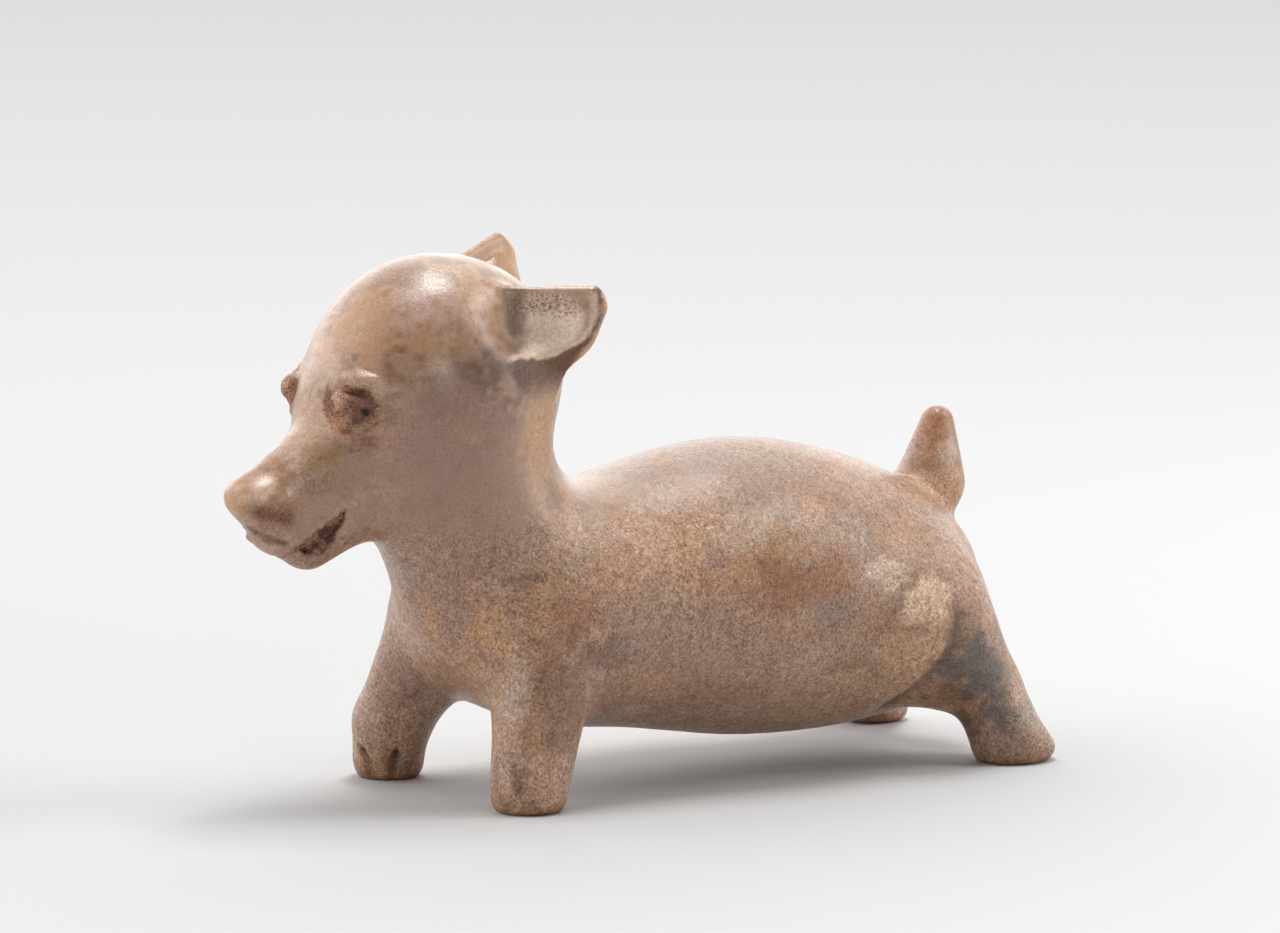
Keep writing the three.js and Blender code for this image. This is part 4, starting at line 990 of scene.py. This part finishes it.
def link(tree, out, to):
    tree.links.new(out, to)


fl = bpy.data.meshes.new("floor")
fl.from_pydata([(-40, -40, 0), (40, -40, 0), (40, 40, 0), (-40, 40, 0)], [], [(0, 1, 2, 3)])
floor = bpy.data.objects.new("floor", fl)
bpy.context.scene.collection.objects.link(floor)
fm = bpy.data.materials.new("pale_floor")
fm.use_nodes = True
ft = fm.node_tree
fb = ft.nodes["Principled BSDF"]
fb.inputs["Base Color"].default_value = (ALBEDO, ALBEDO, ALBEDO, 1)
fb.inputs["Roughness"].default_value = 0.9
fb.inputs["Specular IOR Level"].default_value = 0.15
fb.inputs["Emission Color"].default_value = (1, 1, 1, 1)
place = ft.nodes.new("ShaderNodeTexCoord")
far = ft.nodes.new("ShaderNodeVectorMath")
far.operation = "LENGTH"
link(ft, place.outputs["Object"], far.inputs[0])
fall = math_node(ft, "ADD", math_node(ft, "POWER", math_node(ft, "DIVIDE", far.outputs["Value"], 1.5), 2.0), 1.0)
fall = math_node(ft, "DIVIDE", 1.0, math_node(ft, "POWER", fall, 2.0))
dim = ft.nodes.new("ShaderNodeMapRange")
for k, v in (("From Min", 1.2), ("From Max", 5.5), ("To Min", 1.0), ("To Max", 0.66)):
    dim.inputs[k].default_value = v
link(ft, far.outputs["Value"], dim.inputs["Value"])
fill = math_node(ft, "MULTIPLY", math_node(ft, "SUBTRACT", 1.0, fall), FAR_FILL)
link(ft, math_node(ft, "MULTIPLY", fill, dim.outputs["Result"]), fb.inputs["Emission Strength"])
fl.materials.append(fm)

world = bpy.data.worlds.new("studio")
bpy.context.scene.world = world
world.use_nodes = True
wt = world.node_tree
way = wt.nodes.new("ShaderNodeTexCoord")


def side_glow(direction, strength, start=0.0, full=0.8):
    """the studio's bright wall on one side, fading out round the room"""
    dot = wt.nodes.new("ShaderNodeVectorMath")
    dot.operation = "DOT_PRODUCT"
    dot.inputs[1].default_value = direction
    link(wt, way.outputs["Generated"], dot.inputs[0])
    glow = wt.nodes.new("ShaderNodeMapRange")
    glow.interpolation_type = "SMOOTHSTEP"
    for k, v in (("From Min", start), ("From Max", full), ("To Min", 0.0), ("To Max", strength)):
        glow.inputs[k].default_value = v
    link(wt, dot.outputs["Value"], glow.inputs["Value"])
    return glow.outputs["Result"]


bright = math_node(wt, "ADD", side_glow((-0.8206, 0.5715, 0.0), 1.17), side_glow((-0.5715, -0.8206, 0.0), 0.91))
bright = math_node(wt, "ADD", bright, side_glow((-0.769, 0.532, 0.355), 0.9, 0.80, 0.97))
bright = math_node(wt, "ADD", bright, side_glow((-0.759, -0.570, 0.316), 0.9, 0.80, 0.97))
bright = math_node(wt, "ADD", bright, 0.02)
split = wt.nodes.new("ShaderNodeSeparateXYZ")
link(wt, way.outputs["Generated"], split.inputs[0])
horizon = wt.nodes.new("ShaderNodeMapRange")
horizon.interpolation_type = "SMOOTHSTEP"
for k, v in (("From Min", 0.02), ("From Max", 0.10), ("To Min", 0.0), ("To Max", 1.0)):
    horizon.inputs[k].default_value = v
link(wt, split.outputs["Z"], horizon.inputs["Value"])
sky = wt.nodes.new("ShaderNodeMix")
sky.inputs["A"].default_value = 0.73
link(wt, horizon.outputs["Result"], sky.inputs["Factor"])
link(wt, bright, sky.inputs["B"])
wt.nodes["Background"].inputs[0].default_value = (1, 1, 1, 1)
link(wt, sky.outputs["Result"], wt.nodes["Background"].inputs[1])


def area(name, at, to, size, power, size_y=None, colour=(1, 1, 1)):
    light = bpy.data.lights.new(name, "AREA")
    light.shape = "RECTANGLE"
    light.size, light.size_y = size, size_y or size
    light.energy = power
    light.color = colour
    ob = bpy.data.objects.new(name, light)
    bpy.context.scene.collection.objects.link(ob)
    ob.location = at
    ob.rotation_euler = (Vector(to) - Vector(at)).to_track_quat("-Z", "Y").to_euler()
    return ob


area("overhead", (0.06, 0.16, 1.5), (0, 0, 0.05), 0.38, 5.8)
area("overhead_rear", (-0.25, 0.30, 1.5), (0, 0, 0.05), 0.38, 5.8)
area("overhead_front", (0.15, -0.15, 1.5), (0, 0, 0.05), 0.38, 2.1)
area("right", (0.75, 1.25, 0.50), (0, 0.05, 0.1), 0.6, 5.2, 0.8)
area("right_high", (0.60, 1.00, 1.20), (0, 0.05, 0.1), 0.6, 6.6)
area("left", (0.10, -1.45, 0.30), (0, -0.05, 0.1), 0.15, 1.8, 0.8)
area("left_high", (-0.30, -1.20, 1.00), (0, -0.05, 0.1), 0.5, 1.9, 0.8)
area("near", (1.9, -0.2, 0.65), (0, -0.02, 0.1), 0.3, 4.2)
bpy.context.scene.view_settings.view_transform = "Standard"

AZ, EL, FOCAL_PX, DIST = math.radians(55.1445645), math.radians(6.91218889), 7017.90839, 2.6
EYE = (Vector((2120.4, -1464.0, 429.38)) + Vector(SHIFT)) / 1000.0
cam = bpy.data.cameras.new("camera")
cam.sensor_width = 36.0
cam.lens = FOCAL_PX * 36.0 / 1280.0
cam.clip_start, cam.clip_end = 0.1, 30
camera = bpy.data.objects.new("camera", cam)
bpy.context.scene.collection.objects.link(camera)
back = Vector((math.sin(AZ) * math.cos(EL), -math.cos(AZ) * math.cos(EL), math.sin(EL)))
right = Vector((math.cos(AZ), math.sin(AZ), 0))
up = back.cross(right)
camera.matrix_world = Matrix.Translation(EYE) @ Matrix((right, up, back)).transposed().to_4x4()
bpy.context.scene.camera = camera
